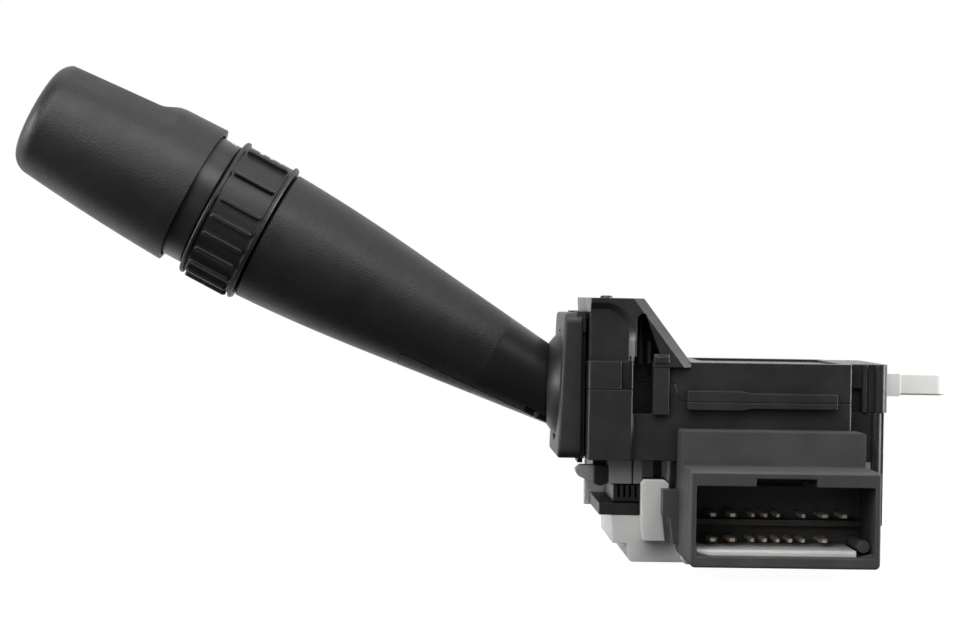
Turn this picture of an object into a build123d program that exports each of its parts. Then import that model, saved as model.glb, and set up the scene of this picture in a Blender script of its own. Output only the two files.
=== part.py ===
"""Combination stalk switch for a steering column.

Millimetres. The origin is the point that the lever pivots about. +X runs into the column cover, +Z runs
along the column towards the driver, and the plug enters from the -Y side. The lever leaves the housing
towards -X and rises towards the driver.
"""
from build123d import *
from math import acos, cos, pi, radians, sin, sqrt, tan
import os

os.makedirs("parts", exist_ok=True)

# ---------------------------------------------------------------- driving dimensions
# fits
RUN = 0.05                    # radial clearance of a shaft that turns in its bore
SNUG = 0.03                   # clearance of a piece that is pushed into its seat
SEAM = 0.1                    # gap between two shells that meet at a seam
FREE = 0.35                   # gap beside a piece that moves past another

# lever
LEVER_TILT = 27.4             # rise of the lever axis above the -X direction, degrees
ROOT_X = -11.49               # the lever axis passes through this point
ROOT_Z = -0.58
LEVER_END = 66.6              # distance from that point to the ring end of the lever body
ROOT_RADIUS = 7.36
LEVER_TAPER = 6.48            # taper per side, degrees
TAPER_END = 40.0              # the taper bends into the ring end from here on
LEVER_END_RADIUS = 13.95
ROOT_OVERRUN = 8.0            # the blank starts this far before the root, and the ball cuts it
STEM_BORE = 6.3               # bore radius around the inner arm
CUT_START = -20.0             # the bores are cut from here, well inside the ball
STEM_SEAT = 24.0              # the arm stops against a web here
WEB = 4.0
WEB_BORE = 4.6
TUBE_SEAT = 46.0              # the inner tube is pushed in from the ring end to here
TUBE_STOP = 0.8               # the bore is this much narrower where the tube stops
TUBE_FIT = 8.0                # length of the tube's seat
SLEEVE_SPACE = 0.55            # clearance around the sleeve of the ring, for its contacts
LEVER_END_BEVEL = 0.4

# cover along the underside of the lever
COVER_END = 30.4
COVER_EDGE_END = 8.25         # height of the cover's edge below the axis, at its outer end
COVER_EDGE_ROOT = 6.0         # and at the root of the lever
LATCH_SLOT_LENGTH = 6.2
LATCH_SLOT_HEIGHT = 0.6
LATCH_SLOT_INSIDE = 2.2       # the slots start this far from the middle
LATCH_BAR = 0.6

# inner tube, collar, ring and knob
TUBE_RADIUS = 9.4
TUBE_WALL = 1.4
PILOT_LENGTH = 3.0            # the tube's end reaches this far into the knob
COLLAR_RADIUS = 13.4
COLLAR_LENGTH = 5.4
COLLAR_BEVEL = 0.3
RING_WIDTH = 12.1
RING_GAP = 0.3
RING_RADIUS = 14.4
RING_RIM_RADIUS = 15.05
RING_RIM = 0.8
RING_BEVEL = 0.3
RIB_HEIGHT = 1.0
RIB_WIDTH = 1.15
RIB_ROUND = 0.35
RIB_LENGTH = 9.1
RIB_PITCH = 15.2              # degrees between the grip ribs
RIB_COUNT = 12
FIRST_RIB = 9.0               # degrees from the camera side towards the driver
MARK_RIBS = (33.8, 64.0)      # the two ribs beside the markings
SLEEVE_WALL = 1.0
WIPER_CUTS = 3                # cuts in the sleeve's end for the wipers
WIPER_CUT_WIDTH = 4.0
WIPER_CUT_LENGTH = 2.0
SHAFT_RADIUS = 2.6
SHAFT_OVERHANG = 3.0          # the shaft starts this far before the contact plate
CONTACT_PLACE = 9.0           # distance of the contact plate from the tube's seat
PLATE_THICKNESS = 1.6
ROTOR_HUB_WALL = 2.0
ROTOR_LENGTH = 2.2
TONGUE_LENGTH = 3.0
TONGUE_WIDTH = 2.2
TONGUE_THICKNESS = 1.0
TONGUES = 3
WHEEL_PLACE = 6.0             # the detent wheel starts this far after the rotor
WHEEL_HEIGHT = 2.6            # its height above the shaft
WHEEL_LENGTH = 3.0
NOTCHES = 12
NOTCH_RADIUS = 0.6
NOTCH_OUT = 0.3               # the notches are centred this far outside the wheel
LEAF_THICKNESS = 0.4
KNOB_LENGTH = 36.3
KNOB_RADIUS = 14.85
KNOB_END_RADIUS = 11.95
KNOB_BULGE = 0.35             # the flank is this much fuller than a cone, halfway along
KNOB_WALL = 2.0
KNOB_CORNER = 4.2
KNOB_OVERLAP = 0.9            # the rim of the knob reaches this far over the collar
SADDLE_RADIUS = 15.15         # raised shoulder on the driver's side of the knob
SADDLE_FALL = 0.2             # it loses this much height over its length
SADDLE_LENGTH = 9.4
SADDLE_STEP = 5.0             # length of the curved step down to the thumb flat
SADDLE_RIM = 0.8              # the curved step begins this far before the shoulder's end
SADDLE_OFFSET = 1.0           # its axis lies this far off the lever axis
SADDLE_FADE = 23.0            # on the flanks it has sunk into the knob at this distance from the rim
THUMB_FLAT_START = 13.1       # height of the thumb flat above the axis, next to the shoulder
THUMB_FLAT_END = 11.65        # and at the end of the knob

# ball shield and bezel
BALL_RADIUS = 14.6
BALL_WALL = 1.5
BALL_GAP = 0.3
BALL_CUT_X = -7.0
BEZEL_BACK_X = -6.0
BEZEL_THICKNESS = 4.0
BEZEL_HALF_WIDTH = 17.0
BEZEL_TOP = 15.0
BEZEL_BOTTOM = -14.3
BEZEL_LEAN = 2.3              # degrees
BEZEL_STEP = 0.8
BEZEL_MOUTH = 0.5              # the front opening is this much wider than the seat
CLIP_DROP = 1.1                # the lower clips reach this far below the plate
CLIP_RISE = 0.3                # and the upper ones this far above it
CLIP_PLACES = ((4.0, 12.0), (13.0, 16.6))
CLIP_ROOM = 4.0               # the stepped back ends this far below the top, under the upper clips
BEZEL_STEP_HALF_WIDTH = 16.0
BEZEL_ROUND = 0.6

# arm, yoke and pins
ARM_HALF_WIDTH = 4.4
ARM_HALF_HEIGHT = 4.0
ARM_NECK = 2.5                # from here on the arm has its full height, before that it widens to the hub
HUB_RADIUS = 5.4
TAIL_END = 13.5
TAIL_HALF_HEIGHT = 3.2
TAIL_HALF_WIDTH = 3.5
DIP_PIN_RADIUS = 2.0
TURN_PIN_RADIUS = 2.2
PIN_END_RADIUS = 1.3           # only its thin domed end shows on the roof
PIN_DOME = 0.5
PIN_BEVEL = 0.3
PIN_SEAT = 1.2                # thickness of the yoke under the pin's bore
YOKE_FRONT_X = -2.9
YOKE_BACK_X = 5.0
YOKE_HALF_WIDTH = 9.0
YOKE_TOP = 11.5
YOKE_BOTTOM = -11.0
YOKE_WINDOW = 6.0             # half height of the opening that the arm passes through
YOKE_CORNER = 1.5
TRUNNION_RADIUS = 4.2
TRUNNION_COLLAR = 0.6         # collar round the foot of the yoke
TRUNNION_COLLAR_HEIGHT = 2.5
TRUNNION_WALL = 2.4           # wall of the yoke's bearing in the floor
TRUNNION_BORE = 3.1
DIP_FINGER_Z = -17.0          # height of the ball that drives the dimmer carriage
DIP_BALL = 1.5
TURN_FINGER_X = 11.2          # distance of the ball that drives the turn carriage
TURN_FINGER_Z = -20.8
TURN_BALL = 1.2
FINGER_ARM_END = 1.6          # the arm of the finger ends this far behind the ball
FINGER_ARM_HEIGHT = 2.8
FINGER_ARM_HALF_WIDTH = 2.5
FINGER_HALF = 0.8
SLOT_ROOM = 1.6               # the slot in the floor is this much wider than the finger
TURN_ANGLE = 12.0             # either way, degrees
PLUNGER_RADIUS = 2.1
PLUNGER_LENGTH = 8.0
PLUNGER_TIP = 1.3
PLUNGER_TAPER = 1.2
PLUNGER_BORE_DEPTH = 3.5      # depth of the bore that takes the spring
PLUNGER_REACH = 16.7          # distance of the plunger's tip from the pivot
SPRING_WIRE = 0.3
SPRING_TURNS = 4.5
SPRING_SPACE = 3.0            # room for the spring behind the plunger

# housing
WALL = 1.5
CUT_HALF_WIDTH = 30.0         # cuts across the whole housing reach this far to each side
FLANGE_FRONT_X = -4.9
FLANGE_BACK_X = 4.0
CASE_HALF_WIDTH = 21.0
FLANGE_OUT = 2.0              # the flange stands out this far from the side of the case
WINDOW_START = 2.4            # snap window: starts this far in front of the flange's back
WINDOW_END = 0.4              # and ends this far in front of it
WINDOW_DEPTH = 1.4
CASE_TOP = 5.5
CASE_BOTTOM = -14.2
CASE_END_X = 55.8
LOWER_END_X = 55.2
CORNER_X = 48.0               # the side walls step in here
CORNER_HALF_WIDTH = 17.0
TOWER_TOP = 18.1
TOWER_FRONT_X = -4.6
TOWER_FLAT_END_X = 6.1
TOWER_SLOPE_END_X = 15.6
SLOPE_CHAMFER = 1.8           # bevel along both sides of the slope
PANEL_DEPTH = 1.2             # panel in the side of the tower, with slanted borders
PANEL_BORDER = 45.0           # slant of the borders, degrees
PANEL_ARC = (5.4, 7.6)        # its rounded upper corner: reach along X and Z
POCKET_TOP = 15.1
POCKET_TOP_END_X = 6.3
POCKET_FOOT_X = 9.4
POCKET_START = 0.6            # the pocket starts this far behind the flange
POCKET_SLANT = 0.8
POCKET_FOOT = 1.4             # height of its lower corner above the case
POST_PLACES = ((5.75, 0.7, 17.6), (7.6, 0.6, 9.6))   # X, radius and top of the posts in the pocket
POST_Y = 17.4
TOWER_INSET = 0.4             # the tower stays this far inside the flange
TOWER_ROOF = 1.35
RECESS_FLOOR = 15.0           # distance of the side recess's floor from the middle
RECESS_START_X = 4.2
RECESS_END_X = 8.0
PARTING_FRONT_Z = -0.1        # seam between the two shells, in the flange
PARTING_STRAP_Z = 1.1         # beside the strap
PARTING_FALL_X = 12.6         # from here it slants down to the rails
PARTING_SLANT = 1.1           # run of the slant along X
PARTING_REAR_Z = -2.3
PARTING_END_Z = -4.2
RAIL_START_X = 14.9
RAIL_STEP_X = 25.7
RAIL_STEP_END_X = 27.9
RAIL_END_X = 44.9
RAIL_OUT = 2.0
RAIL_BOTTOM = -3.9
RAIL_TOP = -0.15
RAIL_THIN = 0.4
STRAP_START_X = 8.1
STRAP_END_X = 11.2
STRAP_TOP = 7.1
STRAP_BOTTOM = -5.0
STRAP_OUT = 1.5
UPPER_COLUMNS = ((51.2, 0.65), (54.25, 1.2))         # X and radius of the corner columns
LOWER_COLUMNS = ((53.7, 1.05),)
CORNER_HOLE = (48.5, 50.5, -4.1, 0.7)                # X and Z of the blind hole in the corner
SKIRT_BOTTOM = -27.0          # end wall of the lower shell, behind the base
SILL = 0.7                    # height of the front opening's sill
OPENING_TOP = 13.8
FIELD_SHORTER = 5.0           # the shallow field on the top is this much shorter than the case
FIELD_NARROWER = 8.0
FIELD_CORNER = 2.0

# detent cam
CAM_FRONT_X = 13.9
CAM_BACK_X = 21.5
CAM_HALF_WIDTH = 9.5
CAM_TOP = 3.6
NOTCH_DEPTH = 0.8

# self-cancelling finger
FINGER_PIVOT_X = 47.0
FINGER_PIN_RADIUS = 1.5
FINGER_PIN_BOSS = 1.5         # wall of the boss around the pin
PIN_COVER = 0.8               # material above the pin's bore
FINGER_BOSS = 3.6
FINGER_HALF_WIDTH = 2.5
FINGER_TOP = 3.35
FINGER_BOTTOM = -1.35
FINGER_STEP_X = 61.0
FINGER_END_X = 70.9
FINGER_TIP_INSET = 0.3        # the tip is this much smaller on each side
FINGER_TAIL_HALF = 1.2        # half width of the tail between the legs of the spring
LEG_UP = 0.8
LEG_OVERLAP = 0.6
LEG_LENGTH = 6.0
FINGER_SWING = 14.0           # either way, degrees

# contact module under the housing
DIMMER_FRONT_X = -6.7
DIMMER_BACK_X = 6.7
DIMMER_TOP = -14.6
DIMMER_BOTTOM = -19.35
DIMMER_HALF_WIDTH = 8.0
DIMMER_BODY_X = -3.0           # the body starts behind the claw
DIMMER_FRONT_Y = -15.0         # the claw and the two front blocks reach this far
CLAW_DEPTH = 5.0
CLAW_END_X = -0.25
CLAW_TIP_Z = -16.6             # height of the pointed nose
CLAW_HEEL_X = -1.8             # lowest point of the claw
CLAW_HEEL_Z = -19.9
CLAW_TOP_SLOPE = 0.9
CLAW_ARC = 9.0
BLOCK_START_X = 0.0
BLOCK_SPLIT_X = 4.6
BLOCK_SPLIT = 0.35
CARRIAGE_TOP = -19.65
CARRIAGE_BOTTOM = -22.9
CARRIAGE_FRONT_X = 0.9
CARRIAGE_BACK_X = 13.2
CARRIAGE_STEP_X = 6.6          # the front block ends here
CARRIAGE_FRONT_Y = -15.5
CARRIAGE_REAR_Y = 10.0
CARRIAGE_BODY_Y = -4.0
RIB_GROOVES = 4
RIB_GROOVE = 0.5
GROOVE_DEPTH = 1.2
GROOVE_FOOT = 0.8             # the grooves end this far above the underside
CARRIAGE_FLOOR = 0.6
PLATE_TOP = -23.2
PLATE_BOTTOM = -25.5
PLATE_FRONT_X = -2.0
PLATE_SET_BACK = 1.2           # its wide part stays this far behind the front of the base
PLATE_REAR_GAP = 4.0
BASE_TOP = -14.4
BASE_BOTTOM = -34.9
BASE_BACK_X = 46.0
BASE_HALF_WIDTH = 17.0
BASE_WALL_X = 14.6
BASE_STEPS_X = (0.4, 0.9, 3.6, 4.1)# X of the two steps at the left end, from top to bottom
BASE_STEP_Z = -31.2
HOOK_LEFT_X = 6.1
HOOK_TOP = -18.1
HOOK_NOSE_X = 11.6             # the nose reaches this far towards the plug
HOOK_NOSE_BOTTOM = -19.9
HOOK_STEM_X = 10.1
HOOK_FOOT_X = 11.0
HOOK_FOOT = -30.3
HOOK_BEVEL = 0.8
HOOK_SLANT = 0.6
HOOK_DRAFT = 0.3
HOOK_BACK_Y = -18.3            # the stem stays clear of the carriage behind it

# connector
SHELL_LEFT_X = 13.1
SHELL_RIGHT_X = 49.3
SHELL_FRONT_Y = -49.0
BLOCK_FRONT_Y = -31.0
SHELL_TOP = -14.4
SHELL_BOTTOM = -32.6
SHELL_ROUND = 0.6             # rounding of the long upper edges
SHELL_EDGE = 0.4              # and of the rim of the mouth
FRONT_SET_BACK = 3.0          # the locking hole and the retainer start this far behind the front
BLOCK_LAP = 3.0               # the cuts reach this far past the front of the block
BLOCK_TOP = -7.7
MOUTH_SIDE_WALL = 1.1
MOUTH_TOP = -17.1
MOUTH_BOTTOM = -30.6
POST_RADIUS = 1.2              # guide post in the lower corner of the mouth
POST_IN = 1.45                 # its distance from the side of the mouth
POST_UP = 1.95                 # and from the floor
GUSSET_RISE = 0.9
GUSSET_RUN = 3.2
LEDGE_RISE = 1.1              # top of the ledge above the middle between the rows
LEDGE_THICKNESS = 1.2
LEDGE_LAP = 2.5
RETAINER_BEVEL = 0.4
KEY_START_X = 25.5
KEY_END_X = 37.1
KEY_TOP = -15.6
LUG_REACH_X = 9.9
LUG_TOP = -19.6
LUG_SPLIT_Z = -25.0
LUG_BOTTOM = -30.3
LUG_FOOT = 1.5                # its lower part starts this far behind the upper one
LUG_TOE = 2.1                 # and this far at the foot
LUG_WIDTH = (-27.0, -22.5)
BLADE_TIP_Y = -40.0
BLADE_ROOT_Y = -15.0
BLADE_THICKNESS = 0.64
WIDE_BLADE = 1.8
NARROW_BLADE = 1.0
WIDE_PITCH = 3.8
NARROW_PITCH = 2.45
FIRST_BLADE_X = 18.4
FIRST_NARROW_X = 26.05
NARROW_PLACES = 5
EMPTY_PLACE = 3               # this place of the upper row has no blade
LAST_WIDE_X = 40.0
LOWER_WIDE = 3                # wide blades in the lower row
UPPER_ROW_Z = -23.3
LOWER_ROW_Z = -28.1

# ---------------------------------------------------------------- derived places
lever_axial = Vector(-cos(radians(LEVER_TILT)), 0, sin(radians(LEVER_TILT)))
lever_outward = Vector(sin(radians(LEVER_TILT)), 0, cos(radians(LEVER_TILT)))
lever_root = Vector(ROOT_X, 0, ROOT_Z)
LEVER_AXIS = Axis(lever_root, lever_axial)
# local x is the radius and local y the distance along the lever
LEVER_PROFILE = Plane(lever_root, x_dir=lever_outward, z_dir=(0, -1, 0))
# local x points to the driver and local z along the lever
LEVER_CROSS = Plane(lever_root, x_dir=lever_outward, z_dir=lever_axial)

ring_start = LEVER_END + RING_GAP
ring_end = ring_start + RING_WIDTH
collar_start = ring_end + RING_GAP
collar_end = collar_start + COLLAR_LENGTH
knob_start = collar_end - KNOB_OVERLAP
knob_end = knob_start + KNOB_LENGTH
sleeve_radius = TUBE_RADIUS + RUN + SLEEVE_WALL
sleeve_bore = sleeve_radius + SLEEVE_SPACE
tube_bore = TUBE_RADIUS - TUBE_WALL
seat_radius = BALL_RADIUS + BALL_GAP
flange_half_width = CASE_HALF_WIDTH + FLANGE_OUT
tower_half_width = flange_half_width - TOWER_INSET
bezel_front_x = BEZEL_BACK_X - BEZEL_THICKNESS
turn_reach = TURN_FINGER_X * sin(radians(TURN_ANGLE))


def lever_radius(distance):
    """Outer radius of the tapered lever body at a distance along its axis."""
    return ROOT_RADIUS + distance * tan(radians(LEVER_TAPER))


def knob_radius(distance):
    """Radius of the knob's barrel-shaped flank at a distance along the lever axis."""
    share = (distance - knob_start) / KNOB_LENGTH
    bulge = 4 * KNOB_BULGE * share * (1 - share)
    return KNOB_RADIUS + (KNOB_END_RADIUS - KNOB_RADIUS) * share + bulge


def turned(*points, mode=Mode.ADD, arc=360, start=0):
    """Turn a profile of (radius, distance) points about the lever axis."""
    with BuildSketch(LEVER_PROFILE) as profile:
        with BuildLine():
            Polyline(*points, close=True)
        make_face()
    face = profile.sketch.rotate(LEVER_AXIS, start)
    revolve(face, axis=LEVER_AXIS, revolution_arc=arc, mode=mode)


def lever_disc(radius, near, far, mode=Mode.ADD):
    """A cylinder about the lever axis between two distances along it."""
    turned((0, near), (radius, near), (radius, far), (0, far), mode=mode)


def side_profile(*points):
    """A closed outline of (X, Z) points in the middle plane."""
    with BuildSketch(Plane.XZ) as outline:
        with BuildLine():
            Polyline(*points, close=True)
        make_face()
    return outline.sketch


def side_rectangle(x_from, x_to, z_from, z_to, corner=0):
    """A rectangle in the middle plane, with rounded corners where corner is set."""
    with BuildSketch(Plane.XZ) as outline:
        with Locations(((x_from + x_to) / 2, (z_from + z_to) / 2)):
            if corner:
                RectangleRounded(x_to - x_from, z_to - z_from, corner)
            else:
                Rectangle(x_to - x_from, z_to - z_from)
    return outline.sketch


def across(profile, y_from, y_to, mode=Mode.ADD):
    """Extrude a side outline between two positions across the part."""
    extrude(profile.moved(Location((0, y_from, 0))), amount=y_to - y_from, dir=(0, 1, 0), mode=mode)


def both_sides(profile, inner, outer, mode=Mode.ADD):
    """Extrude a side outline on the left and on the right, between two distances from the middle."""
    across(profile, inner, outer, mode)
    across(profile, -outer, -inner, mode)


def upright(radius, x, y, z_from, z_to, mode=Mode.ADD):
    """A round column along Z."""
    with Locations((x, y, (z_from + z_to) / 2)):
        Cylinder(radius, z_to - z_from, mode=mode)


def crosswise(radius, x, z, y_from, y_to, mode=Mode.ADD):
    """A round bar along Y."""
    with Locations((x, (y_from + y_to) / 2, z)):
        Cylinder(radius, y_to - y_from, rotation=(90, 0, 0), mode=mode)


def lengthwise(radius, x_from, x_to, y, z, mode=Mode.ADD):
    """A round bar along X."""
    with Locations(((x_from + x_to) / 2, y, z)):
        Cylinder(radius, x_to - x_from, rotation=(0, 90, 0), mode=mode)


def mirrored_plan(points, z_from, z_to, mode=Mode.ADD, corner=0):
    """Extrude a plan outline, given for the +Y half and mirrored to the other, between two heights."""
    with BuildSketch(Plane.XY.offset(z_from)) as plan:
        with BuildLine():
            Polyline(*points, (points[-1][0], 0), (points[0][0], 0), close=True)
        make_face()
        mirror(about=Plane.XZ)
        if corner:
            fillet(plan.vertices(), corner)
    extrude(plan.sketch, amount=z_to - z_from, dir=(0, 0, 1), mode=mode)


# ---------------------------------------------------------------- lever body
def lever_blank():
    """The solid taper of the lever, cut round at the root to follow the ball."""
    start = -ROOT_OVERRUN
    taper_radius = lever_radius(TAPER_END)
    with BuildSketch(LEVER_PROFILE) as profile:
        with BuildLine():
            Line((0, start), (lever_radius(start), start))
            flank = Line((lever_radius(start), start), (taper_radius, TAPER_END))
            TangentArc(flank @ 1, (LEVER_END_RADIUS, LEVER_END), tangent=flank % 1)
            Line((LEVER_END_RADIUS, LEVER_END), (0, LEVER_END))
            Line((0, LEVER_END), (0, start))
        make_face()
    revolve(profile.sketch, axis=LEVER_AXIS)
    Sphere(BALL_RADIUS + SEAM, mode=Mode.SUBTRACT)


def cover_side(gap):
    """Side outline of the space for the underside cover, grown by a gap."""
    with BuildSketch(LEVER_PROFILE) as outline:
        with BuildLine():
            Polyline(
                (-LEVER_END_RADIUS * 2, COVER_END + gap),
                (-COVER_EDGE_END + gap, COVER_END + gap),
                (-COVER_EDGE_ROOT + gap, -COVER_END / 2),
                (-LEVER_END_RADIUS * 2, -COVER_END / 2),
                close=True,
            )
        make_face()
    return outline.sketch


with BuildPart() as lever_shell:
    lever_blank()
    tube_end = TUBE_SEAT + TUBE_FIT
    turned(
        (0, CUT_START),
        (STEM_BORE, CUT_START),
        (STEM_BORE, STEM_SEAT),
        (WEB_BORE, STEM_SEAT),
        (WEB_BORE, STEM_SEAT + WEB),
        (STEM_BORE, STEM_SEAT + WEB),
        (TUBE_RADIUS - TUBE_STOP, TUBE_SEAT),
        (TUBE_RADIUS + SNUG, TUBE_SEAT),
        (TUBE_RADIUS + SNUG, tube_end),
        (sleeve_bore, tube_end),
        (sleeve_bore, LEVER_END + 1),
        (0, LEVER_END + 1),
        mode=Mode.SUBTRACT,
    )
    extrude(cover_side(SEAM), amount=LEVER_END_RADIUS, both=True, mode=Mode.SUBTRACT)
    rim = lever_shell.edges().filter_by(GeomType.CIRCLE).sort_by(LEVER_AXIS)[-2:]
    chamfer(rim.sort_by(SortBy.RADIUS)[-1], LEVER_END_BEVEL)
lever_shell.part.label = "lever_shell"
export_step(lever_shell.part, "parts/lever_shell.step")

# underside cover, with a latch slot on each side that is crossed by a bar
with BuildPart() as lever_cover:
    lever_blank()
    extrude(cover_side(0), amount=LEVER_END_RADIUS, both=True, mode=Mode.INTERSECT)
    lever_disc(STEM_BORE, CUT_START, COVER_END + 1, mode=Mode.SUBTRACT)
    for half in (-1, 1):
        centre = half * (LATCH_SLOT_LENGTH + LATCH_BAR) / 4
        slot_length = (LATCH_SLOT_LENGTH - LATCH_BAR) / 2
        with BuildSketch(LEVER_PROFILE) as slot:
            with Locations((-COVER_EDGE_ROOT - LATCH_SLOT_HEIGHT, centre)):
                RectangleRounded(LATCH_SLOT_HEIGHT, slot_length, LATCH_SLOT_HEIGHT / 3)
        both_sides(slot.sketch, LATCH_SLOT_INSIDE, LEVER_END_RADIUS, Mode.SUBTRACT)
lever_cover.part.label = "lever_lower_cover"
export_step(lever_cover.part, "parts/lever_lower_cover.step")

# ---------------------------------------------------------------- ball shield
with BuildPart() as ball_shield:
    Sphere(BALL_RADIUS)
    Sphere(BALL_RADIUS - BALL_WALL, mode=Mode.SUBTRACT)
    split(bisect_by=Plane.YZ.offset(BALL_CUT_X), keep=Keep.BOTTOM)
    with BuildSketch(LEVER_CROSS.offset(-15)) as stem_hole:
        Rectangle(2 * (ARM_HALF_HEIGHT + SEAM), 2 * (ARM_HALF_WIDTH + SEAM))
    extrude(stem_hole.sketch, amount=40, mode=Mode.SUBTRACT)
ball_shield.part.label = "ball_shield"
export_step(ball_shield.part, "parts/ball_shield.step")

# ---------------------------------------------------------------- arm inside the lever
def arm_corner(side, distance):
    """A corner of the arm's stem, as (X, Z)."""
    point = LEVER_PROFILE.from_local_coords((side * ARM_HALF_HEIGHT, distance, 0))
    return point.X, point.Z


with BuildPart() as lever_arm:
    stem_end = STEM_SEAT - SEAM
    across(
        side_profile(
            arm_corner(-1, stem_end),
            arm_corner(1, stem_end),
            arm_corner(1, ARM_NECK),
            (0, HUB_RADIUS - 0.2),
            (0, -HUB_RADIUS + 0.2),
            arm_corner(-1, -2),
        ),
        -ARM_HALF_WIDTH,
        ARM_HALF_WIDTH,
    )
    crosswise(HUB_RADIUS, 0, 0, -ARM_HALF_WIDTH, ARM_HALF_WIDTH)
    tail = side_rectangle(0, TAIL_END, -TAIL_HALF_HEIGHT, TAIL_HALF_HEIGHT)
    across(tail, -TAIL_HALF_WIDTH, TAIL_HALF_WIDTH)
    with BuildSketch(Plane.XY.offset(DIP_FINGER_Z)) as finger_section:
        Rectangle(2 * FINGER_HALF, 2 * FINGER_HALF)
    extrude(finger_section.sketch, amount=-DIP_FINGER_Z - DIP_PIN_RADIUS - 1)
    with Locations((0, 0, DIP_FINGER_Z)):
        Sphere(DIP_BALL)
    crosswise(DIP_PIN_RADIUS + RUN, 0, 0, -YOKE_HALF_WIDTH, YOKE_HALF_WIDTH, mode=Mode.SUBTRACT)
    plunger_bore_x = PLUNGER_REACH - PLUNGER_LENGTH - SPRING_SPACE
    lengthwise(PLUNGER_RADIUS + RUN, plunger_bore_x, TAIL_END + 1, 0, 0, mode=Mode.SUBTRACT)
lever_arm.part.label = "lever_arm"
export_step(lever_arm.part, "parts/lever_arm.step")

# ---------------------------------------------------------------- spring plunger in the tail of the arm
with BuildPart() as plunger:
    body_start = PLUNGER_REACH - PLUNGER_LENGTH
    tip_start = PLUNGER_REACH - PLUNGER_TIP
    with BuildSketch(Plane.XZ) as plunger_profile:
        with BuildLine():
            Polyline(
                (tip_start, PLUNGER_TIP),
                (tip_start - PLUNGER_TAPER, PLUNGER_RADIUS),
                (body_start, PLUNGER_RADIUS),
                (body_start, PLUNGER_RADIUS - 0.5),
                (body_start + PLUNGER_BORE_DEPTH, PLUNGER_RADIUS - 0.5),
                (body_start + PLUNGER_BORE_DEPTH, 0),
            )
            Line((body_start + PLUNGER_BORE_DEPTH, 0), (PLUNGER_REACH, 0))
            RadiusArc((PLUNGER_REACH, 0), (tip_start, PLUNGER_TIP), -PLUNGER_TIP)
        make_face()
    revolve(plunger_profile.sketch, axis=Axis.X)
plunger.part.label = "detent_plunger"
export_step(plunger.part, "parts/detent_plunger.step")

with BuildPart() as plunger_spring:
    coil_start = plunger_bore_x + SPRING_WIRE + SEAM
    coil_length = body_start + PLUNGER_BORE_DEPTH - SPRING_WIRE - SEAM - coil_start
    with BuildLine() as coil:
        Helix(
            pitch=coil_length / SPRING_TURNS,
            height=coil_length,
            radius=PLUNGER_RADIUS - 1.0,
            center=(coil_start, 0, 0),
            direction=(1, 0, 0),
        )
    with BuildSketch(Plane(coil.line @ 0, z_dir=coil.line % 0)):
        Circle(SPRING_WIRE)
    sweep(path=coil.line, is_frenet=True)
plunger_spring.part.label = "detent_spring"
export_step(plunger_spring.part, "parts/detent_spring.step")

# ---------------------------------------------------------------- inner tube and collar
with BuildPart() as collar:
    pilot_radius = KNOB_RADIUS - KNOB_WALL - RUN
    turned(
        (tube_bore, TUBE_SEAT + SEAM),
        (TUBE_RADIUS, TUBE_SEAT + SEAM),
        (TUBE_RADIUS, collar_start),
        (COLLAR_RADIUS - COLLAR_BEVEL, collar_start),
        (COLLAR_RADIUS, collar_start + COLLAR_BEVEL),
        (COLLAR_RADIUS, collar_end),
        (pilot_radius, collar_end),
        (pilot_radius, collar_end + PILOT_LENGTH),
        (SHAFT_RADIUS + RUN, collar_end + PILOT_LENGTH),
        (SHAFT_RADIUS + RUN, collar_end),
        (tube_bore, collar_end),
    )
collar.part.label = "collar_tube"
export_step(collar.part, "parts/collar_tube.step")

# ---------------------------------------------------------------- rotary ring
with BuildPart() as ring:
    turned(
        (sleeve_radius + SNUG, ring_start),
        (RING_RIM_RADIUS - RING_BEVEL, ring_start),
        (RING_RIM_RADIUS, ring_start + RING_BEVEL),
        (RING_RIM_RADIUS, ring_start + RING_RIM),
        (RING_RADIUS, ring_start + RING_RIM + RING_BEVEL),
        (RING_RADIUS, ring_end - RING_RIM - RING_BEVEL),
        (RING_RIM_RADIUS, ring_end - RING_RIM),
        (RING_RIM_RADIUS, ring_end - RING_BEVEL),
        (RING_RIM_RADIUS - RING_BEVEL, ring_end),
        (sleeve_radius + SNUG, ring_end),
    )
    rib_angles = [FIRST_RIB - RIB_PITCH * i for i in range(RIB_COUNT)] + list(MARK_RIBS)
    rib_sunk = RIB_HEIGHT / 2
    for rib_angle in rib_angles:
        rib_out = Vector(0, -1, 0) * cos(radians(rib_angle)) + lever_outward * sin(radians(rib_angle))
        rib_foot = lever_root + lever_axial * (ring_start + ring_end) / 2 + rib_out * (RING_RADIUS - rib_sunk)
        with BuildSketch(Plane(rib_foot, x_dir=lever_axial, z_dir=rib_out)) as rib:
            SlotOverall(RIB_LENGTH, RIB_WIDTH)
        extrude(rib.sketch, amount=rib_sunk + RIB_HEIGHT)
        rib_top = ring.faces().sort_by_distance(rib_foot + rib_out * (rib_sunk + RIB_HEIGHT))[0]
        fillet(rib_top.edges(), RIB_ROUND)
ring.part.label = "rotary_ring"
export_step(ring.part, "parts/rotary_ring.step")

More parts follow.
